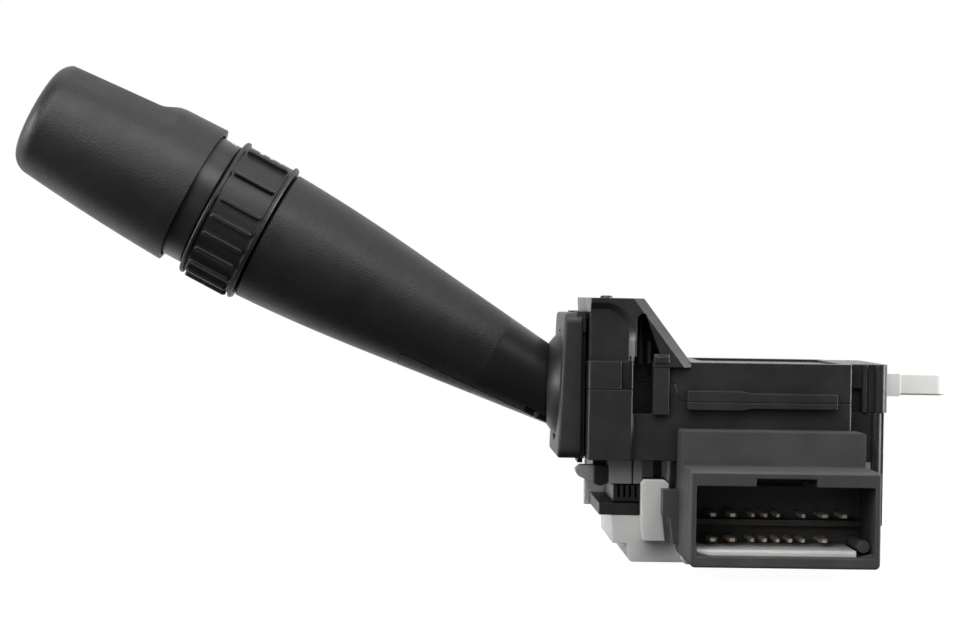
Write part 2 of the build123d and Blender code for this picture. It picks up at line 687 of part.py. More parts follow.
# sleeve that carries the ring on the inner tube and turns its contacts inside the lever
with BuildPart() as sleeve:
    sleeve_start = TUBE_SEAT + TUBE_FIT + FREE
    turned(
        (TUBE_RADIUS + RUN, sleeve_start),
        (sleeve_radius, sleeve_start),
        (sleeve_radius, ring_end - SEAM),
        (TUBE_RADIUS + RUN, ring_end - SEAM),
    )
    with BuildSketch(LEVER_CROSS.offset(sleeve_start - 1)) as wiper_cut:
        with PolarLocations(sleeve_radius, WIPER_CUTS):
            Rectangle(3 * SLEEVE_WALL, WIPER_CUT_WIDTH)
    extrude(wiper_cut.sketch, amount=WIPER_CUT_LENGTH + 1, mode=Mode.SUBTRACT)
sleeve.part.label = "ring_drive_sleeve"
export_step(sleeve.part, "parts/ring_drive_sleeve.step")

# ---------------------------------------------------------------- end knob
with BuildPart() as knob:
    knob_middle = knob_start + KNOB_LENGTH / 2
    with BuildSketch(LEVER_PROFILE) as knob_profile:
        with BuildLine():
            Line((0, knob_start), (KNOB_RADIUS, knob_start))
            ThreePointArc(
                (KNOB_RADIUS, knob_start),
                (knob_radius(knob_middle), knob_middle),
                (KNOB_END_RADIUS, knob_end),
            )
            Line((KNOB_END_RADIUS, knob_end), (0, knob_end))
            Line((0, knob_end), (0, knob_start))
        make_face()
    revolve(knob_profile.sketch, axis=LEVER_AXIS)
    end_edge = knob.edges().filter_by(GeomType.CIRCLE).sort_by(LEVER_AXIS)[-1]
    fillet(end_edge, KNOB_CORNER)
    # shoulder, turned about an axis nearer to the driver, so that it fades out round the flanks
    shoulder_end = knob_start + SADDLE_LENGTH
    step_end = shoulder_end + SADDLE_STEP
    fade_end = knob_start + SADDLE_FADE
    saddle_centre = (SADDLE_OFFSET, knob_start)
    with BuildSketch(LEVER_PROFILE) as saddle:
        with BuildLine():
            Polyline(
                saddle_centre,
                (SADDLE_RADIUS, knob_start),
                (SADDLE_RADIUS - SADDLE_FALL, shoulder_end),
                (THUMB_FLAT_START - 0.5, fade_end),
                (SADDLE_OFFSET, fade_end),
                close=True,
            )
        make_face()
    revolve(saddle.sketch, axis=Axis(lever_root + lever_outward * SADDLE_OFFSET, lever_axial))
    # curved step and thumb flat behind the shoulder
    step_tangent = (0, 1)
    with BuildSketch(LEVER_PROFILE) as flat:
        with BuildLine():
            step = Spline(
                (SADDLE_RADIUS, shoulder_end - SADDLE_RIM),
                (THUMB_FLAT_START, step_end),
                tangents=[step_tangent, (THUMB_FLAT_END - THUMB_FLAT_START, knob_end - step_end)],
            )
            Polyline(
                step @ 1,
                (THUMB_FLAT_END, knob_end),
                (THUMB_FLAT_END, knob_end + 1),
                (SADDLE_RADIUS + 5, knob_end + 1),
                (SADDLE_RADIUS + 5, shoulder_end - SADDLE_RIM),
                step @ 0,
            )
        make_face()
    extrude(flat.sketch, amount=KNOB_RADIUS, both=True, mode=Mode.SUBTRACT)
    # hollow inside, with a boss for the shaft
    rim_bore = COLLAR_RADIUS + 0.5
    inner_end = knob_end - KNOB_WALL - 2.5
    inner = KNOB_RADIUS - KNOB_WALL
    turned(
        (0, knob_start - 1),
        (rim_bore, knob_start - 1),
        (rim_bore, collar_end + FREE),
        (inner, collar_end + FREE),
        (inner, collar_end + 4),
        (knob_radius(inner_end) - KNOB_WALL - 1, inner_end),
        (0, inner_end),
        mode=Mode.SUBTRACT,
    )
    boss_start = collar_end + PILOT_LENGTH + FREE
    turned(
        (SHAFT_RADIUS + SNUG, boss_start),
        (SHAFT_RADIUS + 2, boss_start),
        (SHAFT_RADIUS + 2, inner_end + 0.5),
        (SHAFT_RADIUS + SNUG, inner_end + 0.5),
    )
knob.part.label = "end_knob"
export_step(knob.part, "parts/end_knob.step")

# shaft that turns with the knob and works the light switch inside the lever
with BuildPart() as shaft:
    plate_at = TUBE_SEAT + CONTACT_PLACE
    shaft_start = plate_at - SHAFT_OVERHANG
    lever_disc(SHAFT_RADIUS, shaft_start, inner_end - SEAM)
shaft.part.label = "knob_shaft"
export_step(shaft.part, "parts/knob_shaft.step")

# fixed plate with the contact tracks of the light switch
with BuildPart() as plate:
    turned(
        (SHAFT_RADIUS + RUN, plate_at),
        (tube_bore - SNUG, plate_at),
        (tube_bore - SNUG, plate_at + PLATE_THICKNESS),
        (SHAFT_RADIUS + RUN, plate_at + PLATE_THICKNESS),
    )
plate.part.label = "light_contact_plate"
export_step(plate.part, "parts/light_contact_plate.step")

# rotor on the shaft, with three sprung contact tongues
with BuildPart() as rotor:
    rotor_start = plate_at + PLATE_THICKNESS + FREE
    hub_radius = SHAFT_RADIUS + ROTOR_HUB_WALL
    turned(
        (SHAFT_RADIUS + SNUG, rotor_start),
        (hub_radius, rotor_start),
        (hub_radius, rotor_start + ROTOR_LENGTH),
        (SHAFT_RADIUS + SNUG, rotor_start + ROTOR_LENGTH),
    )
    with BuildSketch(LEVER_CROSS.offset(rotor_start)) as tongues:
        with PolarLocations(hub_radius + TONGUE_LENGTH / 2 - ROTOR_HUB_WALL / 2, TONGUES):
            Rectangle(TONGUE_LENGTH, TONGUE_WIDTH)
    extrude(tongues.sketch, amount=TONGUE_THICKNESS)
rotor.part.label = "light_contact_rotor"
export_step(rotor.part, "parts/light_contact_rotor.step")

# star wheel that gives the knob its click positions, with its leaf spring
with BuildPart() as star:
    star_start = rotor_start + WHEEL_PLACE
    lever_disc(SHAFT_RADIUS + WHEEL_HEIGHT, star_start, star_start + WHEEL_LENGTH)
    lever_disc(SHAFT_RADIUS + SNUG, star_start - 1, star_start + WHEEL_LENGTH + 1, mode=Mode.SUBTRACT)
    with BuildSketch(LEVER_CROSS.offset(star_start - 1)) as notches:
        with PolarLocations(SHAFT_RADIUS + WHEEL_HEIGHT + NOTCH_OUT, NOTCHES):
            Circle(NOTCH_RADIUS)
    extrude(notches.sketch, amount=WHEEL_LENGTH + 2, mode=Mode.SUBTRACT)
star.part.label = "knob_detent_wheel"
export_step(star.part, "parts/knob_detent_wheel.step")

with BuildPart() as leaf:
    leaf_height = SHAFT_RADIUS + WHEEL_HEIGHT + FREE
    with BuildSketch(LEVER_CROSS.offset(star_start + 0.5)) as leaf_section:
        with Locations((leaf_height + LEAF_THICKNESS / 2, 0)):
            Rectangle(LEAF_THICKNESS, 2 * sqrt((tube_bore - SNUG) ** 2 - (leaf_height + LEAF_THICKNESS) ** 2))
    extrude(leaf_section.sketch, amount=2)
leaf.part.label = "knob_detent_leaf"
export_step(leaf.part, "parts/knob_detent_leaf.step")

# ---------------------------------------------------------------- yoke and pivot pins
with BuildPart() as yoke:
    with BuildSketch(Plane.XY.offset(YOKE_BOTTOM)) as yoke_plan:
        with Locations(((YOKE_FRONT_X + YOKE_BACK_X) / 2, 0)):
            RectangleRounded(YOKE_BACK_X - YOKE_FRONT_X, 2 * YOKE_HALF_WIDTH, YOKE_CORNER)
    extrude(yoke_plan.sketch, amount=YOKE_TOP - YOKE_BOTTOM)
    upright(TRUNNION_RADIUS + TRUNNION_COLLAR, 0, 0, YOKE_BOTTOM, YOKE_BOTTOM + TRUNNION_COLLAR_HEIGHT)
    window_half = ARM_HALF_WIDTH + FREE
    across(side_rectangle(-10, 10, -YOKE_WINDOW, YOKE_WINDOW), -window_half, window_half, Mode.SUBTRACT)
    # rear arm and finger of the turn signal
    finger_arm = side_rectangle(
        0, TURN_FINGER_X + FINGER_ARM_END, YOKE_BOTTOM, YOKE_BOTTOM + FINGER_ARM_HEIGHT
    )
    across(finger_arm, -FINGER_ARM_HALF_WIDTH, FINGER_ARM_HALF_WIDTH)
    with BuildSketch(Plane.XY.offset(TURN_FINGER_Z)) as turn_finger:
        with Locations((TURN_FINGER_X, 0)):
            Rectangle(2 * FINGER_HALF, 2 * FINGER_HALF)
    extrude(turn_finger.sketch, amount=YOKE_BOTTOM - TURN_FINGER_Z + 1)
    with Locations((TURN_FINGER_X, 0, TURN_FINGER_Z)):
        Sphere(TURN_BALL)
    # hollow lower trunnion, through which the arm's finger passes
    upright(TRUNNION_RADIUS, 0, 0, CASE_BOTTOM, YOKE_BOTTOM)
    upright(TRUNNION_BORE, 0, 0, CASE_BOTTOM - 1, -YOKE_WINDOW + 1, mode=Mode.SUBTRACT)
    upright(TURN_PIN_RADIUS + RUN, 0, 0, YOKE_WINDOW + PIN_SEAT, YOKE_TOP + 1, mode=Mode.SUBTRACT)
    crosswise(DIP_PIN_RADIUS + SNUG, 0, 0, -YOKE_HALF_WIDTH - 1, YOKE_HALF_WIDTH + 1, mode=Mode.SUBTRACT)
yoke.part.label = "turn_yoke"
export_step(yoke.part, "parts/turn_yoke.step")

with BuildPart() as dip_pin:
    crosswise(DIP_PIN_RADIUS, 0, 0, -YOKE_HALF_WIDTH, YOKE_HALF_WIDTH)
    chamfer(dip_pin.edges().filter_by(GeomType.CIRCLE), PIN_BEVEL)
dip_pin.part.label = "dip_pivot_pin"
export_step(dip_pin.part, "parts/dip_pivot_pin.step")

# upright pin, whose thin domed end passes through the roof of the housing
with BuildPart() as turn_pin:
    pin_foot = YOKE_WINDOW + PIN_SEAT + FREE
    pin_shoulder = TOWER_TOP - TOWER_ROOF - SEAM
    upright(TURN_PIN_RADIUS, 0, 0, pin_foot, pin_shoulder)
    upright(PIN_END_RADIUS, 0, 0, pin_shoulder, TOWER_TOP + PIN_DOME)
    fillet(turn_pin.edges().filter_by(GeomType.CIRCLE).sort_by(Axis.Z)[-1], PIN_DOME * 0.9)
turn_pin.part.label = "turn_pivot_pin"
export_step(turn_pin.part, "parts/turn_pivot_pin.step")

# ---------------------------------------------------------------- bezel plate around the ball shield
with BuildPart() as bezel:
    lean = (BEZEL_TOP - BEZEL_BOTTOM) * tan(radians(BEZEL_LEAN)) / 2
    across(
        side_profile(
            (bezel_front_x - lean, BEZEL_BOTTOM),
            (bezel_front_x + lean, BEZEL_TOP),
            (BEZEL_BACK_X, BEZEL_TOP),
            (BEZEL_BACK_X, BEZEL_BOTTOM),
        ),
        -BEZEL_HALF_WIDTH,
        BEZEL_HALF_WIDTH,
    )
    upright_edges = bezel.edges().filter_by(Axis.X)
    fillet(upright_edges, 2.0)
    front_edges = bezel.faces().sort_by(Axis.X)[0].edges()
    fillet(front_edges, BEZEL_ROUND)
    # stepped back, which stands off the flange of the housing
    step_back = BEZEL_BACK_X + BEZEL_STEP
    step_profile = side_rectangle(BEZEL_BACK_X - 1, step_back, BEZEL_BOTTOM, BEZEL_TOP - CLIP_ROOM)
    across(step_profile, -BEZEL_STEP_HALF_WIDTH, BEZEL_STEP_HALF_WIDTH)
    # clips at the top and the bottom
    upper_clip = side_rectangle(BEZEL_BACK_X - 1, step_back, BEZEL_TOP - CLIP_ROOM, BEZEL_TOP + CLIP_RISE)
    for inner, outer in CLIP_PLACES:
        both_sides(upper_clip, inner, outer)
    lower_clip = side_rectangle(
        BEZEL_BACK_X - 0.2, step_back, BEZEL_BOTTOM - CLIP_DROP, BEZEL_BOTTOM + 2
    )
    both_sides(lower_clip, *CLIP_PLACES[0])
    Sphere(seat_radius, mode=Mode.SUBTRACT)
    # the sharp front edge of the seat is cut back, which clears the lever
    mouth_radius = sqrt(seat_radius**2 - bezel_front_x**2) + BEZEL_MOUTH
    lengthwise(mouth_radius, bezel_front_x - 2, BEZEL_BACK_X, 0, 0, mode=Mode.SUBTRACT)
bezel.part.label = "bezel_plate"
export_step(bezel.part, "parts/bezel_plate.step")


# ---------------------------------------------------------------- housing shells
def tower_outside():
    """Tower over the yoke, with a bevelled slope and a sunk panel in each side."""
    tower = side_profile(
        (TOWER_FRONT_X, CASE_TOP - 1),
        (TOWER_FRONT_X, TOWER_TOP),
        (TOWER_FLAT_END_X, TOWER_TOP),
        (TOWER_SLOPE_END_X, CASE_TOP),
        (TOWER_SLOPE_END_X, CASE_TOP - 1),
    )
    across(tower, -tower_half_width, tower_half_width)
    slope_middle = Vector((TOWER_FLAT_END_X + TOWER_SLOPE_END_X) / 2, 0, (TOWER_TOP + CASE_TOP) / 2)
    for side in (-1, 1):
        slope_edge = edges().sort_by_distance(slope_middle + Vector(0, side * tower_half_width, 0))[0]
        chamfer(slope_edge, SLOPE_CHAMFER)
    panel_top = TOWER_TOP - TOWER_ROOF + 0.4
    panel_right = FLANGE_BACK_X + 0.3
    arc_x = panel_right - PANEL_ARC[0]
    arc_z = panel_top - PANEL_ARC[1]
    panel_left = TOWER_FRONT_X - 3
    panel_bottom = CASE_TOP - 3
    for side in (-1, 1):
        face_plane = Plane((0, side * tower_half_width, 0), x_dir=(1, 0, 0), z_dir=(0, side, 0))
        up = -side
        with BuildSketch(face_plane) as panel:
            with BuildLine():
                Line((panel_left, up * panel_bottom), (panel_left, up * panel_top))
                Line((panel_left, up * panel_top), (arc_x, up * panel_top))
                ThreePointArc(
                    (arc_x, up * panel_top),
                    (arc_x + PANEL_ARC[0] * sin(pi / 4), up * (arc_z + PANEL_ARC[1] * sin(pi / 4))),
                    (panel_right, up * arc_z),
                )
                Line((panel_right, up * arc_z), (panel_right, up * panel_bottom))
                Line((panel_right, up * panel_bottom), (panel_left, up * panel_bottom))
            make_face()
        extrude(panel.sketch, amount=-PANEL_DEPTH, taper=PANEL_BORDER, mode=Mode.SUBTRACT)


def housing_outside(columns):
    """Solid outside form of both shells: tower, flange and case."""
    tower_outside()
    mirrored_plan(
        [
            (FLANGE_FRONT_X, flange_half_width),
            (FLANGE_BACK_X, flange_half_width),
            (FLANGE_BACK_X, CASE_HALF_WIDTH),
            (CORNER_X, CASE_HALF_WIDTH),
            (CORNER_X, CORNER_HALF_WIDTH),
            (CASE_END_X, CORNER_HALF_WIDTH),
        ],
        CASE_BOTTOM,
        CASE_TOP,
        corner=0.5,
    )
    # round columns in the set-back corners at the column end
    for column_x, column_radius in columns:
        for side in (-1, 1):
            upright(column_radius, column_x, side * CORNER_HALF_WIDTH, CASE_BOTTOM, CASE_TOP)
    # guide rails along the sides
    rail = side_profile(
        (RAIL_START_X, RAIL_BOTTOM),
        (RAIL_START_X, RAIL_TOP),
        (RAIL_STEP_X, RAIL_TOP),
        (RAIL_STEP_END_X, RAIL_TOP - RAIL_THIN),
        (RAIL_END_X, RAIL_TOP - RAIL_THIN),
        (RAIL_END_X, RAIL_BOTTOM + RAIL_THIN),
        (RAIL_STEP_END_X, RAIL_BOTTOM + RAIL_THIN),
        (RAIL_STEP_X, RAIL_BOTTOM),
    )
    both_sides(rail, CASE_HALF_WIDTH - 0.5, CASE_HALF_WIDTH + RAIL_OUT)


def housing_inside():
    """Hollow of both shells."""
    narrow = RECESS_FLOOR - WALL
    mirrored_plan(
        [
            (FLANGE_FRONT_X + WALL, flange_half_width - WALL - 0.5),
            (FLANGE_BACK_X - WALL, flange_half_width - WALL - 0.5),
            (FLANGE_BACK_X - WALL, narrow),
            (RECESS_END_X + WALL, narrow),
            (RECESS_END_X + WALL, CASE_HALF_WIDTH - WALL),
            (CORNER_X - WALL, CASE_HALF_WIDTH - WALL),
            (CORNER_X - WALL, CORNER_HALF_WIDTH - WALL),
            (CASE_END_X - WALL, CORNER_HALF_WIDTH - WALL),
        ],
        CASE_BOTTOM + WALL,
        CASE_TOP - WALL,
        mode=Mode.SUBTRACT,
    )
    slope_run = TOWER_SLOPE_END_X - TOWER_FLAT_END_X
    slope_fall = TOWER_TOP - CASE_TOP
    shift = TOWER_ROOF * (sqrt(slope_run**2 + slope_fall**2) - slope_run) / slope_fall
    inner_flat_x = TOWER_FLAT_END_X - shift
    roof_under = TOWER_TOP - TOWER_ROOF
    inner_foot_x = inner_flat_x + (roof_under - CASE_TOP + WALL + 0.5) * slope_run / slope_fall
    across(
        side_profile(
            (FLANGE_FRONT_X + WALL, CASE_TOP - WALL - 0.5),
            (TOWER_FRONT_X + WALL, roof_under),
            (inner_flat_x, roof_under),
            (inner_foot_x, CASE_TOP - WALL - 0.5),
        ),
        -narrow,
        narrow,
        Mode.SUBTRACT,
    )
    # opening towards the lever, wide enough for the rim of the swinging ball
    rim_angle = acos(-BALL_CUT_X / BALL_RADIUS) + radians(TURN_ANGLE)
    rim_reach = BALL_RADIUS * sin(rim_angle) + BALL_GAP
    across(
        side_rectangle(FLANGE_FRONT_X - 1, FLANGE_FRONT_X + WALL + 1, CASE_BOTTOM + SILL, OPENING_TOP),
        -rim_reach,
        rim_reach,
        Mode.SUBTRACT,
    )
    # opening for the cancelling finger
    slot_half = FINGER_HALF_WIDTH + (CASE_END_X - FINGER_PIVOT_X) * tan(radians(FINGER_SWING)) + FREE
    across(
        side_rectangle(CASE_END_X - WALL - 1, CASE_END_X + 1, FINGER_BOTTOM - 0.5, FINGER_TOP + 0.5),
        -slot_half,
        slot_half,
        Mode.SUBTRACT,
    )


def housing_side_details():
    """Recesses, windows and panels in the two sides."""
    # dark recess behind the flange, next to the latch strap
    recess = side_rectangle(RECESS_START_X, RECESS_END_X, STRAP_BOTTOM, CASE_TOP + 1)
    both_sides(recess, RECESS_FLOOR, flange_half_width + 1, Mode.SUBTRACT)
    # snap window in the flange
    window_left = FLANGE_BACK_X - WINDOW_START
    window_right = FLANGE_BACK_X - WINDOW_END
    window = side_rectangle(window_left, window_right, PARTING_FRONT_Z + SEAM, CASE_TOP + 1)
    both_sides(window, flange_half_width - WINDOW_DEPTH, flange_half_width + 1, Mode.SUBTRACT)
    # pocket between the panel and the sloping gusset
    pocket_left = FLANGE_BACK_X + POCKET_START
    pocket_floor = CASE_TOP + 0.1
    pocket = side_profile(
        (pocket_left, pocket_floor),
        (pocket_left, POCKET_TOP - 1),
        (pocket_left + POCKET_SLANT, POCKET_TOP),
        (POCKET_TOP_END_X, POCKET_TOP),
        (POCKET_FOOT_X, CASE_TOP + POCKET_FOOT),
        (POCKET_FOOT_X, pocket_floor),
    )
    both_sides(pocket, RECESS_FLOOR, flange_half_width, Mode.SUBTRACT)
    # blind hole in the set-back corner
    both_sides(side_rectangle(*CORNER_HOLE), CORNER_HALF_WIDTH - 1.0, CORNER_HALF_WIDTH + 2, Mode.SUBTRACT)


def parting_side(above):
    """Side outline of everything above or below the seam between the two shells."""
    seam = SEAM / 2 if above else -SEAM / 2
    far_z = TOWER_TOP + 5 if above else BASE_BOTTOM
    return side_profile(
        (FLANGE_FRONT_X - 5, PARTING_FRONT_Z + seam),
        (FLANGE_BACK_X + 0.1, PARTING_FRONT_Z + seam),
        (FLANGE_BACK_X + 0.1, PARTING_STRAP_Z + seam),
        (PARTING_FALL_X, PARTING_STRAP_Z + seam),
        (PARTING_FALL_X + PARTING_SLANT, PARTING_REAR_Z + seam),
        (CORNER_X + 1, PARTING_REAR_Z + seam),
        (CORNER_X + 1, PARTING_END_Z + seam),
        (FINGER_END_X, PARTING_END_Z + seam),
        (FINGER_END_X, far_z),
        (FLANGE_FRONT_X - 5, far_z),
    )


with BuildPart() as upper_case:
    housing_outside(UPPER_COLUMNS)
    housing_inside()
    housing_side_details()
    across(parting_side(True), -CUT_HALF_WIDTH, CUT_HALF_WIDTH, Mode.INTERSECT)
    # pin boss under the tower roof
    upright(TURN_PIN_RADIUS + 2, 0, 0, YOKE_TOP + FREE, TOWER_TOP - 0.5)
    upright(TURN_PIN_RADIUS + SNUG, 0, 0, YOKE_TOP, TOWER_TOP - TOWER_ROOF, mode=Mode.SUBTRACT)
    upright(PIN_END_RADIUS + SNUG, 0, 0, YOKE_TOP, TOWER_TOP + 1, mode=Mode.SUBTRACT)
    # round posts in the pockets
    for post_x, post_radius, post_top in POST_PLACES:
        for side in (-1, 1):
            upright(post_radius, post_x, side * POST_Y, CASE_TOP - 0.5, post_top)
    # latch straps that reach down over the lower shell
    strap = side_rectangle(STRAP_START_X, STRAP_END_X, STRAP_BOTTOM, STRAP_TOP)
    both_sides(strap, CASE_HALF_WIDTH + SEAM, CASE_HALF_WIDTH + STRAP_OUT)
    strap_root = side_rectangle(STRAP_START_X, STRAP_END_X, PARTING_STRAP_Z + 1, CASE_TOP + 0.8)
    both_sides(strap_root, CASE_HALF_WIDTH - 1, CASE_HALF_WIDTH + SEAM)
    # shallow field on the top with a rim round it
    with BuildSketch(Plane.XY.offset(CASE_TOP)) as field:
        with Locations(((TOWER_SLOPE_END_X + CORNER_X) / 2 + 1, 0)):
            field_length = CORNER_X - TOWER_SLOPE_END_X - FIELD_SHORTER
            RectangleRounded(field_length, 2 * CASE_HALF_WIDTH - FIELD_NARROWER, FIELD_CORNER)
    extrude(field.sketch, amount=-0.5, mode=Mode.SUBTRACT)
    # boss for the top of the cancelling finger's pin
    upright(FINGER_PIN_RADIUS + FINGER_PIN_BOSS, FINGER_PIVOT_X, 0, FINGER_TOP + SEAM, CASE_TOP - PIN_COVER)
    upright(FINGER_PIN_RADIUS + SNUG, FINGER_PIVOT_X, 0, 0, CASE_TOP - PIN_COVER, mode=Mode.SUBTRACT)
upper_case.part.label = "upper_case"
export_step(upper_case.part, "parts/upper_case.step")

with BuildPart() as lower_case:
    housing_outside(LOWER_COLUMNS)
    housing_inside()
    housing_side_details()
    across(parting_side(False), -CUT_HALF_WIDTH, CUT_HALF_WIDTH, Mode.INTERSECT)
    end_gap = side_rectangle(LOWER_END_X, CASE_END_X + 1, CASE_BOTTOM - 1, CASE_TOP)
    across(end_gap, -CUT_HALF_WIDTH, CUT_HALF_WIDTH, Mode.SUBTRACT)
    # end wall that reaches down behind the contact base
    skirt = side_rectangle(LOWER_END_X - WALL, LOWER_END_X, SKIRT_BOTTOM, CASE_BOTTOM + 1)
    across(skirt, -CORNER_HALF_WIDTH, CORNER_HALF_WIDTH)
    for column_x, column_radius in LOWER_COLUMNS:
        for side in (-1, 1):
            upright(column_radius, column_x, side * CORNER_HALF_WIDTH, SKIRT_BOTTOM, CASE_BOTTOM + 1)
    floor = CASE_BOTTOM + WALL
    # bearing of the lower trunnion
    upright(TRUNNION_RADIUS + TRUNNION_WALL, 0, 0, floor - 0.5, YOKE_BOTTOM - FREE)
    across(side_rectangle(-20, FLANGE_FRONT_X, CASE_BOTTOM, CASE_TOP), -15, 15, Mode.SUBTRACT)
    upright(TRUNNION_RADIUS + RUN, 0, 0, CASE_BOTTOM - 1, YOKE_BOTTOM, mode=Mode.SUBTRACT)
    # slot that the turn finger swings in
    slot_half = turn_reach + FINGER_HALF + FREE
    with BuildSketch(Plane.XY.offset(CASE_BOTTOM - 1)) as slot:
        with Locations((TURN_FINGER_X, 0)):
            RectangleRounded(2 * FINGER_HALF + SLOT_ROOM, 2 * slot_half, SLOT_ROOM / 2)
    extrude(slot.sketch, amount=WALL + 2, mode=Mode.SUBTRACT)
    # post under the cancelling finger
    upright(FINGER_BOSS, FINGER_PIVOT_X, 0, floor - 0.5, FINGER_BOTTOM - SEAM)
    upright(FINGER_PIN_RADIUS + SNUG, FINGER_PIVOT_X, 0, floor + 2, FINGER_BOTTOM, mode=Mode.SUBTRACT)
lower_case.part.label = "lower_case"
export_step(lower_case.part, "parts/lower_case.step")

# ---------------------------------------------------------------- detent cam
with BuildPart() as cam:
    cam_foot = CASE_BOTTOM + WALL + SEAM
    across(side_rectangle(CAM_FRONT_X, CAM_BACK_X, cam_foot, CAM_TOP), -CAM_HALF_WIDTH, CAM_HALF_WIDTH)
    # the plunger's tip runs along a hollow that is round about the pivot
    cam_radius = PLUNGER_REACH + FREE
    Sphere(cam_radius, mode=Mode.SUBTRACT)
    # upright notches for left, centre and right
    for turn in (-TURN_ANGLE, 0, TURN_ANGLE):
        notch_at = cam_radius + NOTCH_DEPTH - PLUNGER_TIP
        notch_x = notch_at * cos(radians(turn))
        notch_y = notch_at * sin(radians(turn))
        upright(PLUNGER_TIP, notch_x, notch_y, -4, CAM_TOP + 1, mode=Mode.SUBTRACT)
    fillet(cam.edges().filter_by(Axis.Z).group_by(Axis.X)[-1], 1.0)
cam.part.label = "detent_cam"
export_step(cam.part, "parts/detent_cam.step")

# ---------------------------------------------------------------- self-cancelling finger
with BuildPart() as finger:
    with BuildSketch(Plane.XY.offset(FINGER_BOTTOM)) as finger_plan:
        with Locations((FINGER_PIVOT_X, 0)):
            Circle(FINGER_BOSS)
        with Locations(((FINGER_PIVOT_X + FINGER_STEP_X) / 2, 0)):
            Rectangle(FINGER_STEP_X - FINGER_PIVOT_X, 2 * FINGER_HALF_WIDTH)
    extrude(finger_plan.sketch, amount=FINGER_TOP - FINGER_BOTTOM)
    with BuildSketch(Plane.XY.offset(FINGER_BOTTOM + FINGER_TIP_INSET)) as finger_tip:
        tip_half = FINGER_HALF_WIDTH - FINGER_TIP_INSET
        with Locations(((FINGER_STEP_X + FINGER_END_X) / 2 - 1, 0)):
            RectangleRounded(FINGER_END_X - FINGER_STEP_X + 2, 2 * tip_half, tip_half - 0.05)
    extrude(finger_tip.sketch, amount=FINGER_TOP - FINGER_BOTTOM - 0.55)
    upright(FINGER_PIN_RADIUS + RUN, FINGER_PIVOT_X, 0, FINGER_BOTTOM - 1, FINGER_TOP + 1, mode=Mode.SUBTRACT)
    # tail that the centring spring holds
    tail_x = FINGER_PIVOT_X - FINGER_BOSS - 2
    finger_tail = side_rectangle(tail_x, FINGER_PIVOT_X - 2, FINGER_BOTTOM, FINGER_TOP - 1.5)
    across(finger_tail, -FINGER_TAIL_HALF, FINGER_TAIL_HALF)
    chamfer(finger.edges().filter_by(Axis.Y).sort_by(Axis.X)[-1], 0.3)
finger.part.label = "cancel_finger"
export_step(finger.part, "parts/cancel_finger.step")

with BuildPart() as finger_pin:
    upright(FINGER_PIN_RADIUS, FINGER_PIVOT_X, 0, CASE_BOTTOM + WALL + 2 + SEAM, CASE_TOP - PIN_COVER - SEAM)
finger_pin.part.label = "cancel_pivot_pin"
export_step(finger_pin.part, "parts/cancel_pivot_pin.step")

# hairpin spring that centres the finger by its tail
with BuildPart() as hairpin:
    leg_y = FINGER_TAIL_HALF + FREE + SPRING_WIRE
    leg_z = FINGER_BOTTOM + LEG_UP
    with BuildLine() as wire:
        Polyline(
            (tail_x + LEG_OVERLAP, -leg_y, leg_z),
            (tail_x - LEG_LENGTH, -leg_y, leg_z),
        )
        ThreePointArc(
            (tail_x - LEG_LENGTH, -leg_y, leg_z),
            (tail_x - LEG_LENGTH - leg_y, 0, leg_z),
            (tail_x - LEG_LENGTH, leg_y, leg_z),
        )
        Line((tail_x - LEG_LENGTH, leg_y, leg_z), (tail_x + LEG_OVERLAP, leg_y, leg_z))
    with BuildSketch(Plane(wire.line @ 0, z_dir=wire.line % 0)):
        Circle(SPRING_WIRE)
    sweep(path=wire.line)
hairpin.part.label = "cancel_spring"
export_step(hairpin.part, "parts/cancel_spring.step")

# ---------------------------------------------------------------- carriages under the housing
with BuildPart() as dimmer:
    claw_top = BEZEL_BOTTOM - CLIP_DROP - FREE
    claw_back_y = DIMMER_FRONT_Y + CLAW_DEPTH
    with BuildSketch(Plane.XZ) as claw:
        with BuildLine():
            nose = (DIMMER_FRONT_X, CLAW_TIP_Z)
            heel = (CLAW_HEEL_X, CLAW_HEEL_Z)
            Polyline(
                nose,
                (DIMMER_FRONT_X + CLAW_TOP_SLOPE, claw_top),
                (CLAW_END_X, claw_top),
                (CLAW_END_X, DIMMER_BOTTOM),
                heel,
            )
            RadiusArc(heel, nose, -CLAW_ARC)
        make_face()
    across(claw.sketch, DIMMER_FRONT_Y, claw_back_y)
    body = side_rectangle(DIMMER_BODY_X, DIMMER_BACK_X, DIMMER_BOTTOM, DIMMER_TOP)
    across(body, claw_back_y - 0.5, DIMMER_HALF_WIDTH)
    left_block = side_rectangle(BLOCK_START_X, BLOCK_SPLIT_X, DIMMER_BOTTOM, DIMMER_TOP)
    across(left_block, DIMMER_FRONT_Y, claw_back_y)
    right_block = side_rectangle(BLOCK_SPLIT_X + BLOCK_SPLIT, DIMMER_BACK_X, DIMMER_BOTTOM, DIMMER_TOP)
    across(right_block, DIMMER_FRONT_Y, claw_back_y)
    # slot for the ball of the arm's finger
    with BuildSketch(Plane.XY.offset(DIMMER_BOTTOM - 1)) as dimmer_slot:
        Rectangle(2 * (DIP_BALL + 2 * RUN), 2 * (DIP_BALL + 1))
    extrude(dimmer_slot.sketch, amount=DIMMER_TOP - DIMMER_BOTTOM + 2, mode=Mode.SUBTRACT)
dimmer.part.label = "dimmer_carriage"
export_step(dimmer.part, "parts/dimmer_carriage.step")

